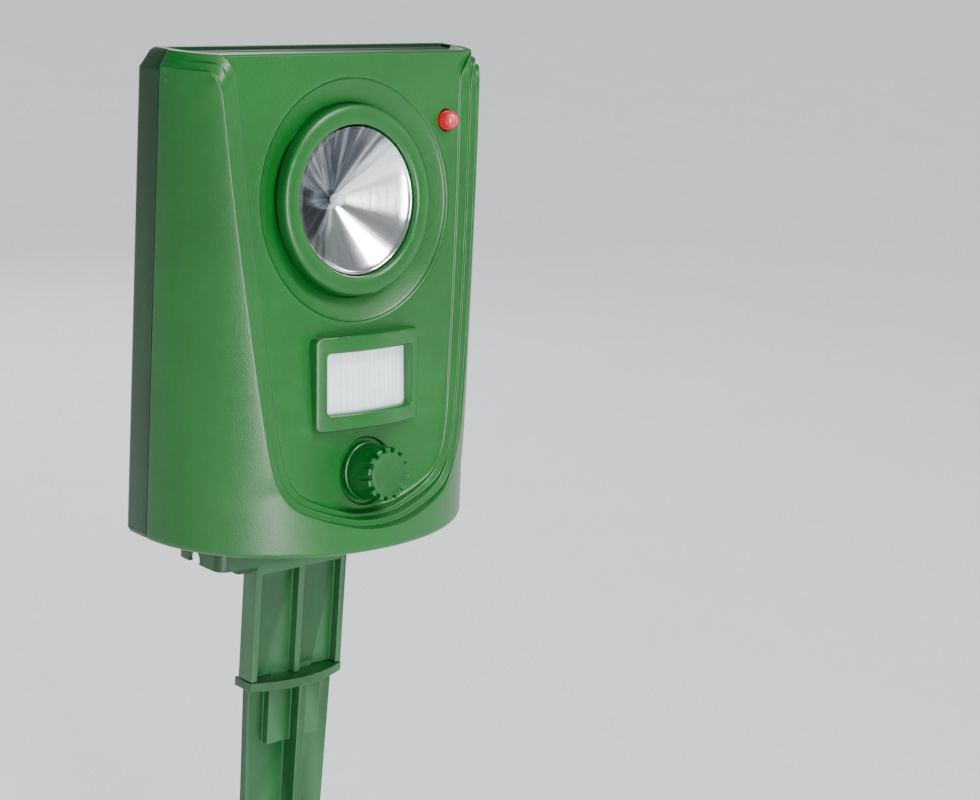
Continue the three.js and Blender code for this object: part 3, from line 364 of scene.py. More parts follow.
def window_white(name):
    """Milky lens: soft and slightly bluish, with faint upright ribs moulded behind."""
    f = Finish(name, 0.34, coat_weight=0.35, coat_roughness=0.12, subsurface_weight=0.25,
               subsurface_scale=0.004)
    at = f.place()
    across, _, _ = f.parts(at)
    ribs = (across * (math.pi / 1.65)).sine().size().step(0.0, 0.35)
    cloud = f.noise(at, 0.12, 2)
    body = f.mix(cloud.step(0.3, 0.7), linear(222, 230, 233), linear(243, 246, 247))
    f.set("Base Color", f.mix(ribs, linear(205, 215, 220), body))
    f.bump(ribs * 0.5 + f.noise(at, 1.5, 2) * 0.5, 0.03)
    return f.material


def lamp_red(name):
    """Clear red dome. A pale spot a little left of and above its middle is a painted highlight in its colour; the
    lamp's faint glow is brightest at the same spot.
    """
    f = Finish(name, 0.08, coat_weight=0.8, coat_roughness=0.03, subsurface_weight=0.3,
               subsurface_scale=0.002)
    at = f.place()
    # middle of the painted highlight, a little left of and above the dome's axis, near its front
    centre = to_object([LED_ACROSS - 0.5, -1.6, LED_UP + 0.4])
    apart = f.node("ShaderNodeVectorMath", {"operation": "DISTANCE"}, at, tuple(centre))[0]
    painted_highlight_and_glow = apart.step(0.2, 1.7, 0.85, 0.0)
    grain = f.noise(at, 1.2, 2)
    deep = f.mix(grain.step(0.3, 0.7), linear(176, 10, 30), linear(204, 22, 44))
    # painted highlight: the colour turns pale round that point; the emission below is the lit lamp's own faint
    # glow
    f.set("Base Color", f.mix(painted_highlight_and_glow, deep, linear(250, 150, 160)))
    f.set("Emission Color", f.mix(painted_highlight_and_glow, linear(70, 0, 6), linear(255, 96, 116)))
    f.set("Emission Strength", 0.12)
    return f.material


def plain_plastic(name, one, two, roughness=0.45, grain=0.04):
    """Moulded plastic of one tone with a fine grain."""
    f = Finish(name, roughness)
    at = f.place()
    cloud = f.noise(at, 0.3, 3)
    fine = f.noise(at, 3.0, 2)
    f.set("Base Color", f.mix(cloud.step(0.35, 0.7), linear(*one), linear(*two)))
    f.set("Roughness", roughness - 0.06 + fine * 0.12)
    f.bump(fine, grain)
    return f.material


def solder_mask(name):
    """Circuit board: green lacquer over copper tracks laid on a square lattice."""
    f = Finish(name, 0.32, coat_weight=0.4, coat_roughness=0.2)
    at = f.place()
    across, _, up = f.parts(at)
    wander = f.noise(at, 0.12, 1) * 9.0
    lines = ((across + wander) * 2.1).sine().size().step(0.1, 0.2)
    rows = ((up - wander) * 1.7).sine().size().step(0.1, 0.2)
    tracks = lines * rows
    f.set("Base Color", f.mix(tracks, linear(52, 122, 66), linear(22, 84, 44)))
    f.set("Roughness", 0.26 + f.noise(at, 1.0, 2) * 0.14)
    f.bump(1.0 - tracks, 0.04)
    return f.material


BAND_UP = 104.6             # height of the cells' coloured band


def cell_sleeve(name):
    """Shrink sleeve: graphite body and a copper-coloured band at its upper end."""
    f = Finish(name, 0.3, 0.35, coat_weight=0.5, coat_roughness=0.12)
    at = f.place()
    _, _, up = f.parts(at)
    band = up.step(BAND_UP, BAND_UP + 0.3)
    cloud = f.noise(at, 0.2, 2)
    grey = f.mix(cloud.step(0.3, 0.7), linear(58, 62, 68), linear(84, 90, 98))
    f.set("Base Color", f.mix(band, grey, linear(176, 112, 60)))
    f.bump(f.noise(at, 1.4, 2), 0.03)
    return f.material


def wound_copper(name):
    """Enamelled winding: fine turns side by side, with painted shade in the grooves between turns and painted
    highlight on their crests.
    """
    f = Finish(name, 0.3, 0.9)
    at = f.place()
    inward = f.parts(f.node("ShaderNodeVectorMath", {"operation": "SUBTRACT"}, at,
                            tuple(FACE_FOOT))[0])[1]
    turns = (inward * 9.0).sine()
    # painted shade and highlight: the colour follows the turns' relief, dark in the grooves and pale on the crests
    f.set("Base Color", f.mix(turns.step(-1.0, 1.0), linear(120, 56, 24), linear(196, 108, 58)))
    f.set("Roughness", 0.28 + f.noise(at, 1.0, 2) * 0.12)
    f.bump(turns, 0.1)
    return f.material


def pale_floor(name):
    """Matt studio floor with slow, very faint clouds."""
    f = Finish(name, 0.65)
    tone = f.noise(f.place(0.02), 1.0, 2)
    f.set("Base Color", f.mix(tone, linear(233, 236, 238), linear(240, 242, 243)))
    return f.material


# each slot's finish, and what its function is given after the name
RECIPES = {
    "green_front": (moulded_green, (8, 88, 26), (5, 79, 21), (44, 128, 58), 0.07),
    "green_rear": (moulded_green, (4, 58, 22), (2, 48, 17), (40, 96, 54), 0.08, 0.4),
    "green_stake": (moulded_green, (8, 72, 28), (5, 62, 22), (60, 116, 74), 0.03, 0.34),
    "green_knob": (moulded_green, (8, 86, 30), (5, 76, 24), (66, 128, 76), 0.025, 0.3),
    "cone_metal": (spun_metal,),
    "steel": (bright_steel,),
    "brass": (bright_steel, (190, 156, 84), 0.3),
    "lens_white": (window_white,),
    "led_red": (lamp_red,),
    "black_plastic": (plain_plastic, (26, 27, 29), (38, 39, 42)),
    "rubber": (plain_plastic, (20, 21, 21), (32, 33, 33), 0.75, 0.05),
    "clear_bead": (plain_plastic, (196, 208, 216), (226, 234, 238), 0.08, 0.005),
    "wire_red": (plain_plastic, (150, 18, 20), (178, 30, 30), 0.4, 0.02),
    "wire_black": (plain_plastic, (18, 18, 20), (32, 32, 34), 0.4, 0.02),
    "board_green": (solder_mask,),
    "cell_sleeve": (cell_sleeve,),
    "copper": (wound_copper,),
}
FINISH = {name: make(name, *given) for name, (make, *given) in RECIPES.items()}


# ---------------------------------------------------------------- mesh helpers
def grid_faces(rows, columns, closed=False, start=0):
    """Quads of a rows by columns grid of points; closed joins its last column to its first."""
    r = np.arange(rows - 1)[:, None]
    c = np.arange(columns if closed else columns - 1)[None, :]
    after = (c + 1) % columns
    a, b = start + r * columns + c, start + r * columns + after
    quads = np.stack([a, b, b + columns, a + columns], -1)
    return quads.reshape(-1, 4).tolist()


def grid(points, closed=False):
    """A patch from a rows by columns array of points."""
    p = np.asarray(points, float)
    return p.reshape(-1, 3), grid_faces(p.shape[0], p.shape[1], closed)


def flat_fill(outer, holes=()):
    """Triangles of a flat region given as loops of 2-D points, each hole a loop inside."""
    loops = [np.asarray(outer, float), *[np.asarray(h, float) for h in holes]]
    points = np.concatenate(loops)
    edges, start = [], 0
    for loop in loops:
        n = len(loop)
        edges += [(start + i, start + (i + 1) % n) for i in range(n)]
        start += n
    made = delaunay_2d_cdt([Vector(p) for p in points], edges, [], 1, 1e-5)
    flat = np.array([tuple(v) for v in made[0]])
    faces = np.array([list(f) for f in made[2]])
    return flat, faces[inside(flat[faces].mean(axis=1), loops)].tolist()


def inside(points, loops):
    """Whether each point lies inside an odd number of loops: a ray from it along +X crosses
    an edge a-b when a and b are on either side of its height and the crossing is beyond it."""
    odd = np.zeros(len(points), bool)
    for loop in loops:
        a, b = loop, np.roll(loop, -1, axis=0)
        px, py = points[:, :1], points[:, 1:]
        spans = (a[:, 1] > py) != (b[:, 1] > py)
        rise = np.where(a[:, 1] == b[:, 1], 1, b[:, 1] - a[:, 1])
        beyond = px < a[:, 0] + (py - a[:, 1]) / rise * (b[:, 0] - a[:, 0])
        odd ^= (spans & beyond).sum(axis=1) % 2 == 1
    return odd


WELD = 0.004                # points nearer than this are one, in millimetres


def piece(name, patches, slot, body, replaces, outward_from=None, sharp=38):
    """A mesh object from patches of (points in millimetres, faces), welded where they meet.
    Its faces point away from outward_from where that is given."""
    points = np.concatenate([np.asarray(p, float) for p, _ in patches])
    faces, start = [], 0
    for p, f in patches:
        faces += [[start + i for i in face] for face in f]
        start += len(p)
    mesh = bpy.data.meshes.new(name)
    mesh.from_pydata((points * M).tolist(), [], faces)
    made = bpy.data.objects.new(name, mesh)
    bpy.context.scene.collection.objects.link(made)
    tidy_mesh(mesh, outward_from, sharp)
    mesh.materials.append(FINISH[slot])
    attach(made, body)
    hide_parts(*replaces)
    return made


def tidy_mesh(mesh, outward_from, sharp):
    """Welds points, turns the faces outwards and marks edges above sharp degrees as hard."""
    b = bmesh.new()
    b.from_mesh(mesh)
    bmesh.ops.remove_doubles(b, verts=b.verts, dist=WELD * M)
    bmesh.ops.dissolve_degenerate(b, edges=b.edges, dist=WELD * M / 4)
    bmesh.ops.recalc_face_normals(b, faces=b.faces)
    if outward_from is not None:
        centre = Vector(outward_from) * M
        facing = sum(f.calc_area() * f.normal.dot(f.calc_center_median() - centre) for f in b.faces)
        if facing < 0:
            bmesh.ops.reverse_faces(b, faces=b.faces)
    limit = math.radians(sharp)
    for f in b.faces:
        f.smooth = True
    for e in b.edges:
        e.smooth = len(e.link_faces) != 2 or e.calc_face_angle(0) < limit
    b.to_mesh(mesh)
    b.free()


def rounded(profile, steps=4):
    """A polyline of (x, y, radius) with each corner turned into an arc of about its radius.
    Each corner is a quadratic curve from radius before it to radius after it."""
    p = np.array([q[:2] for q in profile], float)
    out = [p[0]]
    t = np.linspace(0, 1, steps + 1)[:, None]
    for i in range(1, len(p) - 1):
        radius = profile[i][2] if len(profile[i]) > 2 else 0
        before, after = p[i - 1] - p[i], p[i + 1] - p[i]
        if radius <= 0:
            out.append(p[i])
            continue
        a = p[i] + before * min(0.48, radius / np.linalg.norm(before))
        b = p[i] + after * min(0.48, radius / np.linalg.norm(after))
        out.extend((1 - t) ** 2 * a + 2 * t * (1 - t) * p[i] + t * t * b)
    out.append(p[-1])
    return np.array(out)


def turned(profile, sides=64, centre=(0, 0)):
    """A profile of (radius, inward) points turned about the face's inward axis, at centre.
    Point = centre + radius (cos t, sin t), at its inward depth."""
    profile = np.asarray(profile, float)
    t = np.arange(sides) * 2 * math.pi / sides
    radius, inward = profile[:, 0][:, None], profile[:, 1][:, None]
    points = np.stack([centre[0] + radius * np.cos(t), inward + 0 * t,
                       centre[1] + radius * np.sin(t)], -1)
    return to_object(points).reshape(-1, 3), grid_faces(len(profile), sides, True)


def circle(radius, centre, sides):
    """A closed loop: centre + radius (cos t, sin t)."""
    t = np.arange(sides) * 2 * math.pi / sides
    return np.stack([centre[0] + radius * np.cos(t), centre[1] + radius * np.sin(t)], -1)


def rounded_rectangle(half_x, half_y, radius, per_corner=8, centre=(0, 0)):
    """A closed loop: a rectangle whose corners are arcs, corner + radius (cos t, sin t)."""
    t = np.linspace(0, math.pi / 2, per_corner)
    arc = np.stack([np.cos(t), np.sin(t)], -1) * radius
    inner = np.array([half_x - radius, half_y - radius])
    turn = np.array([[0, -1], [1, 0]])
    loop = []
    for i, corner in enumerate([(1, 1), (-1, 1), (-1, -1), (1, -1)]):
        spin = np.linalg.matrix_power(turn, i)
        loop.append(inner * corner + arc @ spin.T)
    return np.concatenate(loop) + np.asarray(centre)


# ---------------------------------------------------------------- housing surface
def smooth(t):
    """Rise from 0 to 1 with level ends: 3 t^2 - 2 t^3, held outside 0 to 1."""
    t = np.clip(t, 0, 1)
    return t * t * (3 - 2 * t)


def foot_inset(z):
    """How far the jacket draws in at its foot: a quarter circle of radius FOOT_ROUND."""
    low = np.clip(FOOT_ROUND - z, 0, FOOT_ROUND)
    return FOOT_ROUND - np.sqrt(FOOT_ROUND ** 2 - low ** 2)


def plan_size(z, inset):
    """Half width and forward reach of the plan at height z, both straight lines in z."""
    share = z / HOUSING_HEIGHT
    half = HALF_BOTTOM + (HALF_TOP - HALF_BOTTOM) * share - inset
    reach = DEPTH_BOTTOM + (DEPTH_TOP - DEPTH_BOTTOM) * share - inset - SIDE_STRAIGHT
    return half, reach


def depth_at(x, z, inset):
    """Depth from the back of the rounded front: a superellipse in plan, where
    |x / half| ^ n + |(y - straight) / reach| ^ n = 1."""
    half, reach = plan_size(z, inset)
    across = np.clip(np.abs(x) / half, 0, 1)
    return SIDE_STRAIGHT + reach * (1 - across ** PLAN_POWER) ** (1 / PLAN_POWER)


def half_at_depth(depth, z, inset):
    """The same superellipse solved for |x| at a depth."""
    half, reach = plan_size(z, inset)
    part = np.clip((depth - SIDE_STRAIGHT) / reach, 0, 1)
    return half * (1 - part ** PLAN_POWER) ** (1 / PLAN_POWER)


FACE_DEPTH_TOP = (BACK_Y - FACE_FOOT[1]) - HOUSING_HEIGHT * math.tan(TILT) - FACE_SINK


def face_depth(z):
    """Depth of the leaning face: FACE_DEPTH_TOP + (top - z) tan(tilt)."""
    return FACE_DEPTH_TOP + (HOUSING_HEIGHT - z) * math.tan(TILT)


def curve(points, count):
    """A smooth curve through a few points: Catmull-Rom, sampled evenly by length."""
    p = np.asarray(points, float)
    p = np.vstack([2 * p[0] - p[1], p, 2 * p[-1] - p[-2]])
    t = np.linspace(0, 1, 25)[:-1, None]
    run = []
    for a, b, c, d in zip(p[:-3], p[1:-2], p[2:-1], p[3:]):
        run.append(0.5 * (2 * b + (c - a) * t + (2 * a - 5 * b + 4 * c - d) * t ** 2
                          + (3 * b - a - 3 * c + d) * t ** 3))
    run = np.vstack([*run, p[-2]])
    length = np.r_[0, np.cumsum(np.linalg.norm(np.diff(run, axis=0), axis=1))]
    want = np.linspace(0, length[-1], count)
    return np.stack([np.interp(want, length, run[:, i]) for i in range(run.shape[1])], -1)


# edges of the three steps round the face, right half, as (half width, height)
STEP_LINES = [
    {"top": JACKET_TOP, "flare": [(41, 112), (39.8, 109), (39.35, 105)],
     "side": [(38.2, 91), (35.9, 68), (33.2, 45), (30.9, 28)],
     "corner": [(29.1, 19), (25, 12.4), (18, 9)], "foot": [(9, 6.4), (0, 5.5)]},
    {"top": MIDDLE_TOP, "flare": [(39, 113.8), (37.8, 110.6), (37.3, 105)],
     "side": [(36.1, 91), (34, 68), (31.4, 45), (29.1, 28)],
     "corner": [(27.3, 19.6), (23.6, 13.7), (17, 10.4)], "foot": [(8.6, 7.8), (0, 6.9)]},
    {"top": HOUSING_HEIGHT, "flare": [(36.9, 115), (35, 111.4), (34.2, 105)],
     "side": [(33.3, 91), (31.3, 68), (28.8, 45), (26.8, 28)],
     "corner": [(25.2, 20.2), (21.9, 14.8), (15.8, 11.5)], "foot": [(8.2, 8.8), (0, 7.9)]},
]
CORNER_DEPTH = 20.25        # depth at which every step leaves the shoulder
RUN, FLARE, SIDE, CORNER, FOOT = 18, 22, 60, 24, 26    # points along each stretch of a step
FOOT_BLEND = 14             # points over which the foot's wide fillet opens


def step_line(line, inset):
    """Points (x, z) of one step's edge from the parting line to the foot's middle. The foot
    is z = z_middle + (z_end - z_middle) (x / x_end) ^ 2."""
    depths = np.linspace(BACK_Y - SEAM_Y, CORNER_DEPTH, RUN + 1)
    run = np.stack([half_at_depth(depths, line["top"], inset),
                    np.full(RUN + 1, line["top"])], -1)
    flare = curve([run[-1], *line["flare"]], FLARE + 1)[:-1]
    side = curve([line["flare"][-1], *line["side"], line["corner"][0]], SIDE + 1)[:-1]
    corner = curve([*line["corner"], line["foot"][0]], CORNER + 1)[:-1]
    (end_x, end_z), (_, middle_z) = line["foot"]
    foot = curve(line["foot"], FOOT)
    foot[:, 1] = middle_z + (end_z - middle_z) * (foot[:, 0] / end_x) ** 2
    return np.vstack([run[:-1], flare, side, corner, foot])


def settle(points, passes=6):
    """Evens out small kinks after the run along the shoulder, ends held: each point becomes
    (before + 2 itself + after) / 4."""
    p = points.copy()
    for _ in range(passes):
        p[RUN + 2:-1] = (p[RUN + 1:-2] + 2 * p[RUN + 2:-1] + p[RUN + 3:]) / 4
    return p


def inward_turn(points):
    """Unit direction in (x, z) from a step's edge towards the middle of the face."""
    along = np.gradient(points, axis=0)
    along /= np.linalg.norm(along, axis=1)[:, None] + 1e-9
    return np.stack([along[:, 1], -along[:, 0]], -1)


def stepped_rows():
    """The right half of the jacket and the three steps, as rows from the parting line or the
    underside to the edge of the face. Each row is a chain of corners, rounded afterwards.
    Heights over the face are equal thirds of the jacket's own height over it."""
    insets = [0, STEP_IN, 2 * STEP_IN]
    lines = [settle(step_line(s, i)) for s, i in zip(STEP_LINES, insets)]
    count = len(lines[0])
    turn_to_face = smooth(np.linspace(0, 1.5, FLARE))
    facing = np.r_[np.zeros(RUN), turn_to_face, np.ones(count - RUN - FLARE)]
    opening = smooth(np.linspace(0, 1, FOOT_BLEND))
    foot_share = np.r_[np.zeros(RUN + FLARE + SIDE - FOOT_BLEND), opening, np.ones(CORNER + FOOT)]
    height0 = np.maximum(depth_at(lines[0][:, 0], lines[0][:, 1], 0)
                         - face_depth(lines[0][:, 1]), 1.5)

    def chain_point(line, inset, share, shift):
        """A corner at a share of the jacket's height, moved in the face's plane by shift."""
        x = line[:, 0] + shift[:, 0]
        z = line[:, 1] + shift[:, 1]
        side = depth_at(x, z, inset)
        front = face_depth(z) + height0 * share
        return np.stack([x, side * (1 - facing) + front * facing, z], -1)

    chain = []
    for i, (line, inset) in enumerate(zip(lines, insets)):
        turn = inward_turn(line)
        none = np.zeros_like(turn)
        chain.append(chain_point(line, inset, 1 - i / 3, none))
        if i < 2:
            deeper = insets[i + 1]
            run_x = half_at_depth(chain[-1][:, 1] - 0.6 * STEP_IN, line[:, 1], deeper) - line[:, 0]
            on_side = np.stack([run_x, 0 * run_x], -1)
            slope = turn * 0.2
            shift = on_side * (1 - facing[:, None]) + slope * facing[:, None]
            chain.append(chain_point(line, deeper, 1 - (i + 1) / 3, shift))
    slope = np.r_[1 - smooth(np.linspace(0, 1.2, RUN)), np.zeros(count - RUN)][:, None]
    # near the parting line the three steps run out in one slope
    for i, part in ((1, 0.3), (2, 0.5), (3, 0.7)):
        even = chain[0] + (chain[4] - chain[0]) * part
        chain[i] = chain[i] * (1 - slope) + even * slope
    line, turn = lines[2], inward_turn(lines[2])
    # the ring of points that ends the fillet, wide at the foot, stays clear of the knob's well
    from_knob = np.hypot(line[:, 0], line[:, 1] / math.cos(TILT) - KNOB_UP)
    guard_shift = np.minimum(1.0 + 4.6 * foot_share, from_knob - WELL_RADIUS - 0.6)
    rim = np.minimum(0.35, guard_shift * 0.4)
    base = chain_point(line, insets[2], 0, turn * (rim * facing)[:, None])
    guard = chain_point(line, insets[2], 0, turn * (guard_shift * facing)[:, None])
    deck, front = slice(0, RUN), slice(RUN, None)
    base[deck] -= [0.35, 0.2, 0]
    guard[deck] -= [0.8, 0.5, 0]
    base[RUN] = chain[-1][RUN] - [0.15, 0, 0]
    guard[RUN] = chain[-1][RUN] - [0.4, 0, 0]
    base[front, 1] = face_depth(base[front, 2])
    guard[front, 1] = face_depth(guard[front, 2])
    fillet = np.minimum(0.3 + 4.6 * foot_share, (guard_shift - rim) * 0.85)
    return lines[0], chain, base, guard, facing, foot_share, height0, fillet


def rounded_chain(chain, radii, steps):
    """Rows of corner points (count, 3) joined, each inner corner turned to the quadratic curve
    (1 - t)^2 a + 2 t (1 - t) corner + t^2 b, with a and b at its two radii from the corner."""
    out = [chain[0]]
    for i in range(1, len(chain) - 1):
        before, after = chain[i - 1] - chain[i], chain[i + 1] - chain[i]
        r_in, r_out = [np.asarray(r).reshape(-1, 1) for r in radii[i]]
        n_in = np.linalg.norm(before, axis=1)[:, None] + 1e-9
        n_out = np.linalg.norm(after, axis=1)[:, None] + 1e-9
        a = chain[i] + before * np.minimum(0.46, r_in / n_in)
        b = chain[i] + after * np.minimum(np.where(r_out > 1, 0.9, 0.46), r_out / n_out)
        for t in np.linspace(0, 1, steps[i] + 1):
            out.append((1 - t) ** 2 * a + 2 * t * (1 - t) * chain[i] + t * t * b)
    out.append(chain[-1])
    return out


def mirrored(rows):
    """The right half of rows, continued by its mirror image across the middle of the face."""
    left = rows[:, ::-1].copy()[:, 1:]
    left[..., 0] *= -1
    return np.concatenate([rows, left], axis=1)


def housing_to_object(points):
    """(x, depth from the back, height over the underside) to the object's frame."""
    p = np.asarray(points, float)
    return np.stack([p[..., 0], BACK_Y - p[..., 1], HOUSING_UP + p[..., 2]], -1)


SOLE_LEAD = 9               # rows that start round the foot of the parting line
SEAM_MARKS = (104, 97, 9)   # heights on the parting line where the rows' spacing changes
SKIN = 1.1                  # wall of the moulded skin
JACKET_SHARES = np.r_[0, 0.01, 0.022, 0.036, 0.052, 0.07, np.linspace(0.1, 0.9, 20), 0.94, 0.97]


def plan_turn(x, z, inset):
    """Angle t of the plan at x, where |x| = half cos(t) ^ (2 / n)."""
    half, _ = plan_size(z, inset)
    return np.arccos(np.clip(np.abs(x) / half, 0, 1) ** (PLAN_POWER / 2))


def jacket_rows(edge, facing, height0):
    """Rows from the parting line and the underside to the first step's edge. Along a row the
    plan angle and the height change evenly, and the plan gives the point:
    (half cos(t) ^ (2 / n), straight + reach sin(t) ^ (2 / n), z)."""
    upright = RUN + FLARE + SIDE + SOLE_LEAD
    high, middle, low = SEAM_MARKS
    seam_z = np.concatenate([np.linspace(JACKET_TOP, high, RUN + 1)[:-1],
                             np.linspace(high, middle, FLARE + 1)[:-1],
                             np.linspace(middle, low, SIDE + 1)[:-1],
                             low * np.linspace(1, 0, SOLE_LEAD) ** 1.6])
    z_start = np.r_[seam_z, np.zeros(len(edge) - upright)]
    depth_seam = BACK_Y - SEAM_Y
    share = np.linspace(0, 1, len(edge) - upright + 1)[1:]
    sole_x = half_at_depth(depth_seam, 0, FOOT_ROUND) * np.cos(share * math.pi / 2) ** 0.9
    x_start = np.r_[half_at_depth(depth_seam, seam_z, foot_inset(seam_z)), sole_x]
    t0 = plan_turn(x_start, z_start, foot_inset(z_start))
    t1 = plan_turn(edge[:, 0], edge[:, 1], 0)
    swell = height0 + face_depth(edge[:, 1]) - depth_at(edge[:, 0], edge[:, 1], 0)
    rows = []
    for s in JACKET_SHARES:
        t = t0 + (t1 - t0) * s
        z = z_start + (edge[:, 1] - z_start) * s
        half, reach = plan_size(z, foot_inset(z))
        x = half * np.cos(t) ** (2 / PLAN_POWER)
        y = SIDE_STRAIGHT + reach * np.sin(t) ** (2 / PLAN_POWER)
        y = y + np.clip(swell, 0, None) * facing * smooth((s - 0.45) / 0.55)
        rows.append(np.stack([x, y, z], -1))
    return rows, upright


def front_shell():
    """The jacket, its three steps, the face, the deck and the underside as one thin skin."""
    edge, chain, base, guard, facing, foot_share, height0, fillet = stepped_rows()
    jacket, upright = jacket_rows(edge, facing, height0)
    radii = {i: (0.28, 0.28) for i in range(2, 6)}
    radii[1] = (0.45, 0.3)
    radii[6] = (0.3 + 1.6 * foot_share, fillet)
    steps = {i: 4 for i in range(1, 6)}
    steps[6] = 9
    rounded_steps = rounded_chain([jacket[-1], *chain, base, guard], radii, steps)
    whole = mirrored(np.array(jacket[:-1] + rounded_steps))
    n = whole.shape[1]
    # underside: a guard band on the flat, then a flat fill
    sole_row = whole[0, upright - 1:n - upright + 1]
    inward = sole_row + ([0, BACK_Y - SEAM_Y, 0] - sole_row) * 0.05
    inward[0], inward[-1] = sole_row[0] + [-1.5, 0, 0], sole_row[-1] + [1.5, 0, 0]
    inward[:, 2] = 0
    flat, faces = flat_fill(inward[:, :2])
    guard_line = whole[-1]
    patches = [grid(housing_to_object(whole)),
               grid(housing_to_object(np.array([sole_row, inward]))),
               (housing_to_object(np.c_[flat, np.zeros(len(flat))]), faces),
               *face_patches(guard_line[RUN:n - RUN]),
               *deck_patches(guard_line)]
    shell = piece("front_shell_skin", patches, "green_front", "housing", ["front_shell"],
                  outward_from=(0, BACK_Y - 15, HOUSING_UP + 60))
    wall = shell.modifiers.new("wall", "SOLIDIFY")
    wall.thickness = SKIN * M
    wall.offset = -1


DISH_SIDES, WELL_SIDES, LED_SIDES = 120, 72, 32    # the same in the face and in its recesses


def crest_line(edge):
    """Straight top edge of the face between its two upper corners."""
    a, b = edge[0], edge[-1]
    share = np.r_[0, 0.004, 0.01, np.linspace(0.02, 0.98, 40), 0.99, 0.996, 1][:, None]
    return a + (b - a) * share, share[:, 0]


def crest_rows(edge):
    """The rounded fold between the face and the top deck, narrowing to nothing at its ends:
    a quadratic curve from the face to the deck whose corner is the straight top edge."""
    line, share = crest_line(edge)
    reach = 0.7 * smooth(np.minimum(share, 1 - share) / 0.02)[:, None]
    down = np.array([0, math.tan(TILT), -1]) / math.hypot(1, math.tan(TILT))
    inward = np.array([0, -1.0, 0])
    rows = []
    for t in np.linspace(0, 1, 6):
        a, b = line + reach * down, line + reach * inward
        rows.append((1 - t) ** 2 * a + 2 * t * (1 - t) * line + t * t * b)
    return np.array(rows)


def face_patches(edge):
    """The flat face with its round and square openings, and the turned recesses in them.
    Recess profiles are (radius, depth) pairs, and s is the depth of the face itself."""
    crest = crest_rows(edge)
    patches = [grid(housing_to_object(crest))]
    loop = np.vstack([edge, crest[0][::-1][1:-1]])
    in_face = to_face(housing_to_object(loop))
    s = FACE_SINK * math.cos(TILT)
    opening = rounded_rectangle(HOOD_WIDTH / 2 - 1.3, HOOD_HEIGHT / 2 - 2, 1, 6, (0, WINDOW_UP))
    spots = [circle(DISH_RADIUS + 1.4, (0, SPEAKER_UP), DISH_SIDES),
             circle(WELL_RADIUS + 0.4, (0, KNOB_UP), WELL_SIDES),
             circle(LED_RADIUS + 0.9, (LED_ACROSS, LED_UP), LED_SIDES), opening]
    flat, faces = flat_fill(in_face[:, [0, 2]], spots)
    points = np.stack([flat[:, 0], np.full(len(flat), s), flat[:, 1]], -1)
    patches.append((to_object(points), faces))
    dish = rounded([(DISH_RADIUS + 1.4, s), (DISH_RADIUS, s, 0.7), (DISH_RADIUS - 0.5, s + 0.7, 0.4),
                    (DISH_RADIUS - 3, s + 1.7, 1.6), (BEZEL_RADIUS + 0.8, s + 2.5, 1.2),
                    (BEZEL_RADIUS + 0.3, s + 2.7, 0.3), (BEZEL_RADIUS + 0.3, 4.0, 0.2),
                    (CONE_RADIUS + 2.5, 4.0, 0.2), (CONE_RADIUS + 2.5, 6.4)], 5)
    patches.append(turned(dish, DISH_SIDES, (0, SPEAKER_UP)))
    well = rounded([(WELL_RADIUS + 0.4, s), (WELL_RADIUS, s, 0.3), (WELL_RADIUS - 0.3, s + 0.9, 0.4),
                    (3.4, s + 0.9, 0.2), (3.4, s + 2.2)], 5)
    patches.append(turned(well, WELL_SIDES, (0, KNOB_UP)))
    lamp = rounded([(LED_RADIUS + 0.9, s), (LED_RADIUS + 0.25, s, 0.2),
                    (LED_RADIUS + 0.25, s + 1.6)], 4)
    patches.append(turned(lamp, LED_SIDES, (LED_ACROSS, LED_UP)))
    rings = np.array([np.stack([opening[:, 0], np.full(len(opening), d), opening[:, 1]], -1)
                      for d in (s, s + 1.6)])
    patches.append(grid(to_object(rings), True))
    return patches


DECK_RIM = 2.6              # flat border of the top deck
DECK_DEPTH = 0.8            # depth of the recess inside it


def deck_patches(guard_line):
    """The front half of the top deck: a flat rim round a shallow rectangular recess.
    Recess height = -depth times the product of smooth steps from each of its three edges."""
    n = guard_line.shape[0]
    left, right = guard_line[:RUN + 1], guard_line[n - RUN - 1:]
    crest = crest_rows(guard_line[RUN:n - RUN])[-1]
    seam, front = BACK_Y - SEAM_Y, crest[0, 1] - DECK_RIM
    near = np.r_[0, 0.15, 0.35, 0.55, 0.75, 1.0]
    ys = np.r_[np.linspace(seam, front - 1.0, 8)[:-1], front - near[::-1]]
    half = half_at_depth(ys, HOUSING_HEIGHT, 2 * STEP_IN) - DECK_RIM
    share = np.r_[-1 + near / 40, np.linspace(-0.93, 0.93, 24), 1 - near[::-1] / 40]
    gx, gy = half[:, None] * share, np.repeat(ys[:, None], len(share), axis=1)
    drop = smooth(half[:, None] - np.abs(gx)) * smooth(front - gy)
    recess = np.stack([gx, gy, HOUSING_HEIGHT - DECK_DEPTH * drop], -1)
    edge = np.vstack([recess[:, 0], recess[-1, 1:], recess[-2::-1, -1]])
    loop = np.vstack([left, crest[1:-1], right, edge])[:, :2]
    flat, faces = flat_fill(loop)
    rim = housing_to_object(np.c_[flat, np.full(len(flat), HOUSING_HEIGHT)])
    return [(rim, faces), grid(housing_to_object(recess))]


# ---------------------------------------------------------------- copies of frame nodes
HARD_EDGE = math.radians(36)        # edges sharper than this are shaded hard
ROUNDED_EDGE = math.radians(30)     # edges sharper than this are rounded
NEARLY_FLAT = math.radians(1.2)     # faces that meet at less than this are joined


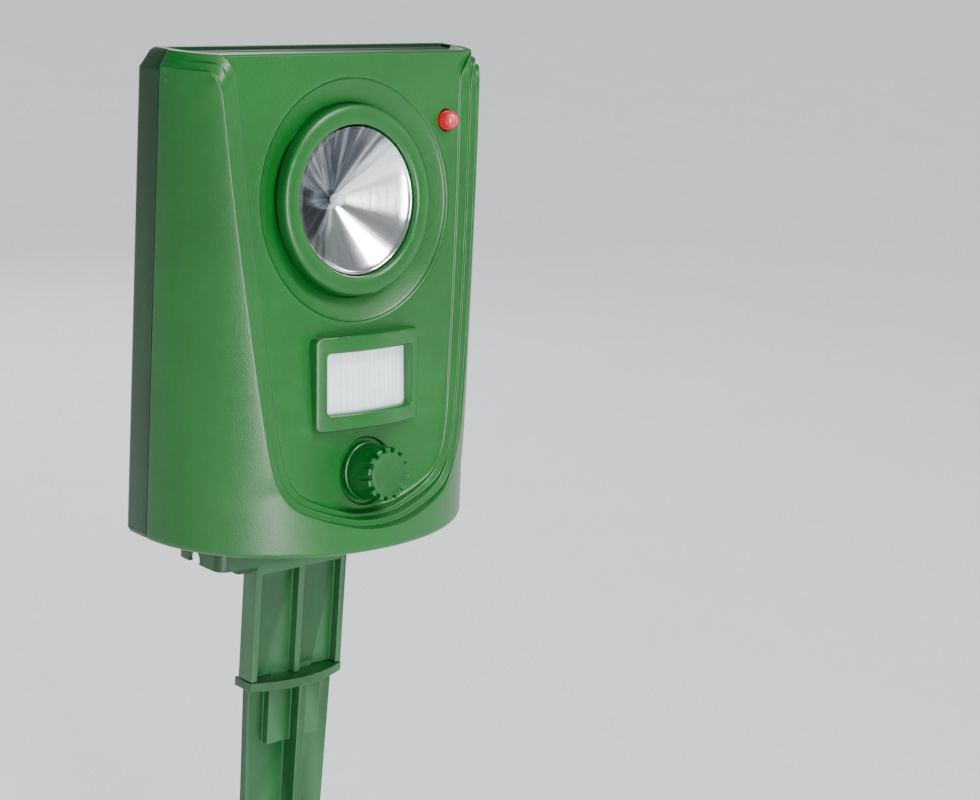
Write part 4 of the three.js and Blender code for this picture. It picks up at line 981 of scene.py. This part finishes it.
def finer_copy(name, node, slot, body, edge, segments):
    """A welded copy of a CAD node whose hard edges are given a small round of width edge."""
    source = frame["nodes"][node]
    mesh = source.data.copy()
    mesh.materials.clear()
    made = bpy.data.objects.new(name, mesh)
    bpy.context.scene.collection.objects.link(made)
    b = bmesh.new()
    b.from_mesh(mesh)
    bmesh.ops.remove_doubles(b, verts=b.verts, dist=2e-6)
    bmesh.ops.dissolve_limit(b, angle_limit=NEARLY_FLAT, verts=b.verts, edges=b.edges)
    bmesh.ops.recalc_face_normals(b, faces=b.faces)
    for f in b.faces:
        f.smooth = True
    for e in b.edges:
        e.smooth = len(e.link_faces) == 2 and e.calc_face_angle(0) < HARD_EDGE
    b.to_mesh(mesh)
    b.free()
    mesh.materials.append(FINISH[slot])
    bevel = made.modifiers.new("edges", "BEVEL")
    bevel.width = edge * M
    bevel.segments = segments
    bevel.limit_method = "ANGLE"
    bevel.angle_limit = ROUNDED_EDGE
    bevel.harden_normals = True
    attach(made, body)
    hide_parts(node)
    return made


# ---------------------------------------------------------------- speaker
def densified(profile, parts):
    """A polyline with each stretch cut into equal parts."""
    share = np.arange(parts)[:, None] / parts
    cut = [a + (b - a) * share for a, b in zip(profile[:-1], profile[1:])]
    return np.vstack(cut + [profile[-1:]])


def speaker():
    """Ring, horn and bead, each a (radius, depth) profile turned about the speaker's axis."""
    centre = (0, SPEAKER_UP)
    inner, outer = CONE_RADIUS, BEZEL_RADIUS
    ring = rounded([(inner + 0.1, 1.6), (inner + 0.1, 0.1, 0.3), (inner + 0.4, -0.5, 0.4),
                    (inner + 1.2, -0.95, 0.7), (outer - 1.4, -1.0, 1.2), (outer, -0.3, 0.9),
                    (outer, 2.9, 0.3), (inner + 2.9, 2.9, 0.2), (inner + 2.9, 1.6, 0.2),
                    (inner + 0.1, 1.6)], 5)
    piece("speaker_bezel_ring", [turned(ring, 128, centre)], "green_front", "housing",
          ["speaker_bezel"])
    rim = CONE_RADIUS - 0.15
    horn = rounded([(0, CONE_DEPTH), (1.7, CONE_DEPTH, 0.6), (rim - 1.3, 1.4, 2.2),
                    (rim - 0.45, 0.55, 0.3), (rim - 0.1, 0.5, 0.2), (rim, 0.8, 0.2),
                    (rim, 1.6, 0.2), (rim - 0.6, 2.0, 0.4), (1.9, CONE_DEPTH + 0.6, 0.4),
                    (0, CONE_DEPTH + 0.6)], 6)
    cone = piece("speaker_cone_horn", [turned(densified(horn, 4), 160, centre)], "cone_metal",
                 "housing", ["speaker_cone"])
    add_turn_uv(cone, centre)
    bead = rounded([(0, CONE_DEPTH - 3.5), (1.15, CONE_DEPTH - 3.4, 0.8),
                    (1.6, CONE_DEPTH - 2.1, 1.0), (1.6, CONE_DEPTH - 1.0, 0.5),
                    (1.3, CONE_DEPTH - 0.2)], 6)
    bead = np.vstack([bead, [0, CONE_DEPTH - 0.2]])
    piece("speaker_bead_cap", [turned(bead, 40, centre)], "clear_bead", "housing",
          ["speaker_bead"], sharp=60)


def add_turn_uv(made, centre):
    """UV of a turned piece: u = angle / full turn round its axis, v = distance from it / 20.
    A face that crosses the seam has a turn added to its negative u."""
    mesh = made.data
    layer = mesh.uv_layers.new(name="turn")
    co = np.zeros(len(mesh.vertices) * 3)
    mesh.vertices.foreach_get("co", co)
    p = to_face(co.reshape(-1, 3) / M)
    turn = np.arctan2(p[:, 2] - centre[1], p[:, 0] - centre[0]) / (2 * math.pi)
    away = np.hypot(p[:, 2] - centre[1], p[:, 0] - centre[0]) / 20
    loops = np.zeros(len(mesh.loops), int)
    mesh.loops.foreach_get("vertex_index", loops)
    start = np.zeros(len(mesh.polygons), int)
    mesh.polygons.foreach_get("loop_start", start)
    u = turn[loops]
    wide = np.maximum.reduceat(u, start) - np.minimum.reduceat(u, start) > 0.5
    crosses = np.repeat(wide, np.diff(np.r_[start, len(u)]))
    u = np.where(crosses & (u < 0), u + 1, u)
    layer.data.foreach_set("uv", np.stack([u, away[loops]], -1).ravel())


# ---------------------------------------------------------------- motion window
PER_CORNER = 10             # points round each corner of the window's rings
HOOD_CROWN = 3.3            # how far the hood's front bulges at the middle
HOOD_FRONT = -1.3           # depth of the hood's front at its sides
LENS_MARGIN = 0.6           # lens past the window's edge
LENS_CROWN = 2.7
LENS_COLUMNS, LENS_ROWS = 129, 15


def straights_cut(loop):
    """The loop with each straight stretch cut into 22, the same count for every size."""
    after = np.roll(loop, -1, axis=0)
    out = []
    for i, (a, b) in enumerate(zip(loop, after)):
        parts = 22 if i % PER_CORNER == PER_CORNER - 1 else 1
        out.append(a + (b - a) * (np.arange(parts) / parts)[:, None])
    return np.vstack(out)


def hood_ring(half_x, half_up, radius, depth, share):
    """A rounded rectangle at a depth, less share of the front's shape, which is
    crown (1 - (x / half width) ^ 2) plus the rake towards the brow."""
    loop = straights_cut(rounded_rectangle(half_x, half_up, radius, PER_CORNER))
    x, up = loop[:, 0], loop[:, 1]
    rise = share * (HOOD_CROWN * (1 - (x / (HOOD_WIDTH / 2)) ** 2) + 0.06 * up)
    return np.stack([x, depth - rise, WINDOW_UP + up], -1)


def motion_hood():
    """Rings of one shape from the face out over the front and back inside the window. Each is
    given by its inset from the outside or its margin round the window, radius, depth and share."""
    hx, hu = HOOD_WIDTH / 2, HOOD_HEIGHT / 2
    wx, wu = WINDOW_WIDTH / 2, WINDOW_HEIGHT / 2
    front = HOOD_FRONT
    outside = [(0, 1.6, FACE_SINK + 0.1, 0), (0, 1.6, -0.4, 0), (0.02, 1.6, front + 0.45, 0.93),
               (0.12, 1.55, front + 0.18, 0.97), (0.35, 1.4, front + 0.03, 1), (0.7, 1.2, front, 1)]
    window = [(0.9, 1.5, front, 1), (0.5, 1.3, front + 0.05, 1), (0.2, 1.1, front + 0.25, 1),
              (0, 1.0, front + 0.7, 0.98), (0, 1.0, front + 2.1, 0.9), (0, 1.0, 2.4, 0)]
    rings = [hood_ring(hx - inset, hu - inset, *rest) for inset, *rest in outside]
    rings += [hood_ring(wx + margin, wu + margin, *rest) for margin, *rest in window]
    piece("motion_hood_frame", [grid(to_object(np.array(rings + rings[:1])), True)],
          "green_front", "housing", ["motion_hood"])


def motion_lens():
    """A sheet crowned as 1 - (x / half) ^ 2, with shallow upright ribs |sin|, and its rim."""
    half_x, half_up = WINDOW_WIDTH / 2 + LENS_MARGIN, WINDOW_HEIGHT / 2 + LENS_MARGIN
    gx, gu = np.meshgrid(np.linspace(-half_x, half_x, LENS_COLUMNS),
                         np.linspace(-half_up, half_up, LENS_ROWS))
    crown = LENS_CROWN * (1 - (gx / half_x) ** 2)
    rib = 0.05 * np.abs(np.sin(gx * math.pi / 3.3))
    front = np.stack([gx, 0.9 - crown - rib - 0.03 * gu, WINDOW_UP + gu], -1)
    back = front + [0, 0.8, 0]

    def rim(sheet):
        """Once round the sheet's edge."""
        return np.vstack([sheet[0], sheet[1:, -1], sheet[-1, -2::-1], sheet[-2:0:-1, 0]])

    skirt = np.array([rim(front), rim(back)])
    piece("motion_lens_sheet", [grid(to_object(front)), grid(to_object(back)),
                                grid(to_object(skirt), True)],
          "lens_white", "housing", ["motion_lens"])


# ---------------------------------------------------------------- lamp and knob
def indicator():
    """A round-ended lamp with its collar, a (radius, depth) profile turned about its axis."""
    dome = rounded([(0, -2.65), (1.5, -2.6, 1.3), (LED_RADIUS, -0.9, 1.4), (LED_RADIUS, 3.6, 0.1),
                    (2.9, 3.6, 0.1), (2.9, 4.6, 0.2)], 8)
    dome = np.vstack([dome, [0, 4.6]])
    piece("indicator_lamp", [turned(dome, 48, (LED_ACROSS, LED_UP))], "led_red", "housing",
          ["indicator_led"])


KNOB_RADIUS = 6.6
KNOB_END = -7.9             # depth of the knob's outer end
KNOB_SKIRT = 1.0            # depth of its hidden foot
NOTCHES = 14
NOTCH_BAND = 1.35           # reach of a notch inwards from the knob's radius


def knob():
    """A turned knob whose end rim is notched: radius falls by depth times a smooth pulse that
    repeats round the turn, only near the end."""
    r0, end, skirt = KNOB_RADIUS, KNOB_END, KNOB_SKIRT
    profile = rounded([(0, end + 0.15), (r0 - 2.2, end + 0.1, 0.6), (r0 - 1.5, end, 0.3),
                       (r0 - 0.25, end, 0.45), (r0, end + 0.5, 0.4), (r0 + 0.15, skirt - 1.2, 0.4),
                       (r0 + 0.55, skirt - 1.0, 0.2), (r0 + 0.55, skirt, 0.2),
                       (3.2, skirt, 0.1), (3.2, skirt - 1.4)], 5)
    profile = densified(profile, 3)
    sides = NOTCHES * 24
    t = np.arange(sides) * 2 * math.pi / sides
    pulse = smooth((np.cos(NOTCHES * t) - 0.05) / 0.35)[None, :]
    r, d = profile[:, 0][:, None], profile[:, 1][:, None]
    past_band = r - (r0 - NOTCH_BAND)
    near_end = smooth((end + 2.7 - d) / 0.4) * smooth(past_band / 0.25)
    r = r - 0.95 * pulse * near_end * smooth(past_band / 1.2)
    d = d + 0.55 * pulse * near_end * smooth((end + 0.5 - d) / 0.4)
    points = np.stack([r * np.cos(t), d + 0 * t, KNOB_UP + r * np.sin(t)], -1)
    piece("control_knob_cap", [grid(to_object(points), True)], "green_knob", "knob",
          ["control_knob"], sharp=42)


# ---------------------------------------------------------------- screws
def cross_screw(node, axis, body, head_radius, head_height):
    """A pan head with a cross recess on a shank, along one of the frame's own axes. The head
    falls as (r / radius) ^ 4, and the recess sinks where a point is within the cross's arms."""
    low, high = box_mm(node)
    axis = np.array(axis, float)
    span = np.abs(axis) @ (high - low)
    top = (low + high) / 2 + axis * span / 2
    side = np.array([1.0, 0, 0])
    other = np.cross(axis, side)
    sides = 96
    t = np.arange(sides) * 2 * math.pi / sides
    r = np.r_[0, np.linspace(0.06, 0.92, 22), 0.955, 0.98, 1.0, 1.0, 1.0] * head_radius
    fall = -head_height * 0.45 * (r / head_radius) ** 4
    fall[-3:] = [-head_height * 0.5, -head_height * 0.62, -head_height]
    x, y = r[:, None] * np.cos(t), r[:, None] * np.sin(t)
    arm, width = head_radius * 0.62, head_radius * 0.13
    in_x = smooth((arm - np.abs(x)) / 0.12) * smooth((width - np.abs(y)) / 0.1 + 0.5)
    in_y = smooth((arm - np.abs(y)) / 0.12) * smooth((width - np.abs(x)) / 0.1 + 0.5)
    sunk = np.maximum(in_x, in_y) * head_height * 0.55
    height = fall[:, None] - sunk
    shank = [(head_radius * 0.48, -head_height), (head_radius * 0.48, -span + 1.0),
             (head_radius * 0.16, -span)]
    rings = [np.stack([x, y, height], -1)]
    for radius, level in shank:
        rings.append(np.stack([radius * np.cos(t), radius * np.sin(t), level + 0 * t], -1)[None])
    rings.append(np.stack([0 * t, 0 * t, -span + 0 * t], -1)[None])
    local = np.concatenate(rings)
    points = top + local[..., :1] * side + local[..., 1:2] * other + local[..., 2:] * axis
    piece(f"{node}_cross", [grid(points, True)], "steel", body, [node], sharp=50)


def fasteners():
    """The screws that can be seen, and the tilt bolt with its nut and washer."""
    for i in range(1, 5):
        cross_screw(f"housing_screw_{i}", (0, 1, 0), "housing", 2.9, 1.9)
    cross_screw("door_screw", (0, 1, 0), "door", 2.4, 0.9)
    for i in (1, 2):
        cross_screw(f"bracket_screw_{i}", (0, 0, -1), "housing", 2.9, 1.9)
    finer_copy("tilt_bolt_rounded", "tilt_bolt", "steel", "stake", 0.2, 2)
    finer_copy("tilt_nut_rounded", "tilt_nut", "steel", "stake", 0.2, 2)
    finer_copy("tilt_washer_rounded", "tilt_washer", "steel", "stake", 0.12, 2)


# ---------------------------------------------------------------- everything
def carried_nodes():
    """CAD nodes that stay get their finish from the record's slots."""
    slots = {s["node"]: s["material_slot"] for s in frame["record"]["subparts"]}
    for name, node in frame["nodes"].items():
        if node.hide_render:
            continue
        node.data.materials.clear()
        node.data.materials.append(FINISH[slots[name]])


FLOOR_HALF = 6              # metres
FLOOR_GAP = 0.0015          # floor below the stake's tip, metres


def add_floor():
    """A wide square of floor just under the stake's tip."""
    low = cad_low.z - FLOOR_GAP
    mesh = bpy.data.meshes.new("floor")
    half = FLOOR_HALF
    mesh.from_pydata([(-half, -half, low), (half, -half, low), (half, half, low),
                      (-half, half, low)], [], [(0, 1, 2, 3)])
    mesh.materials.append(pale_floor("floor"))
    floor = bpy.data.objects.new("floor", mesh)
    bpy.context.scene.collection.objects.link(floor)


add_camera()
add_studio()
add_floor()
front_shell()
speaker()
motion_hood()
motion_lens()
indicator()
knob()
fasteners()
finer_copy("rear_shell_skin", "rear_shell", "green_rear", "housing", 0.25, 2)
finer_copy("battery_door_panel", "battery_door", "green_rear", "door", 0.3, 2)
finer_copy("tilt_bracket_plate", "tilt_bracket", "green_rear", "housing", 0.4, 3)
finer_copy("stake_upper_channel", "stake_upper", "green_stake", "stake", 0.45, 3)
finer_copy("stake_spike_blade", "stake_spike", "green_stake", "stake", 0.45, 3)
carried_nodes()
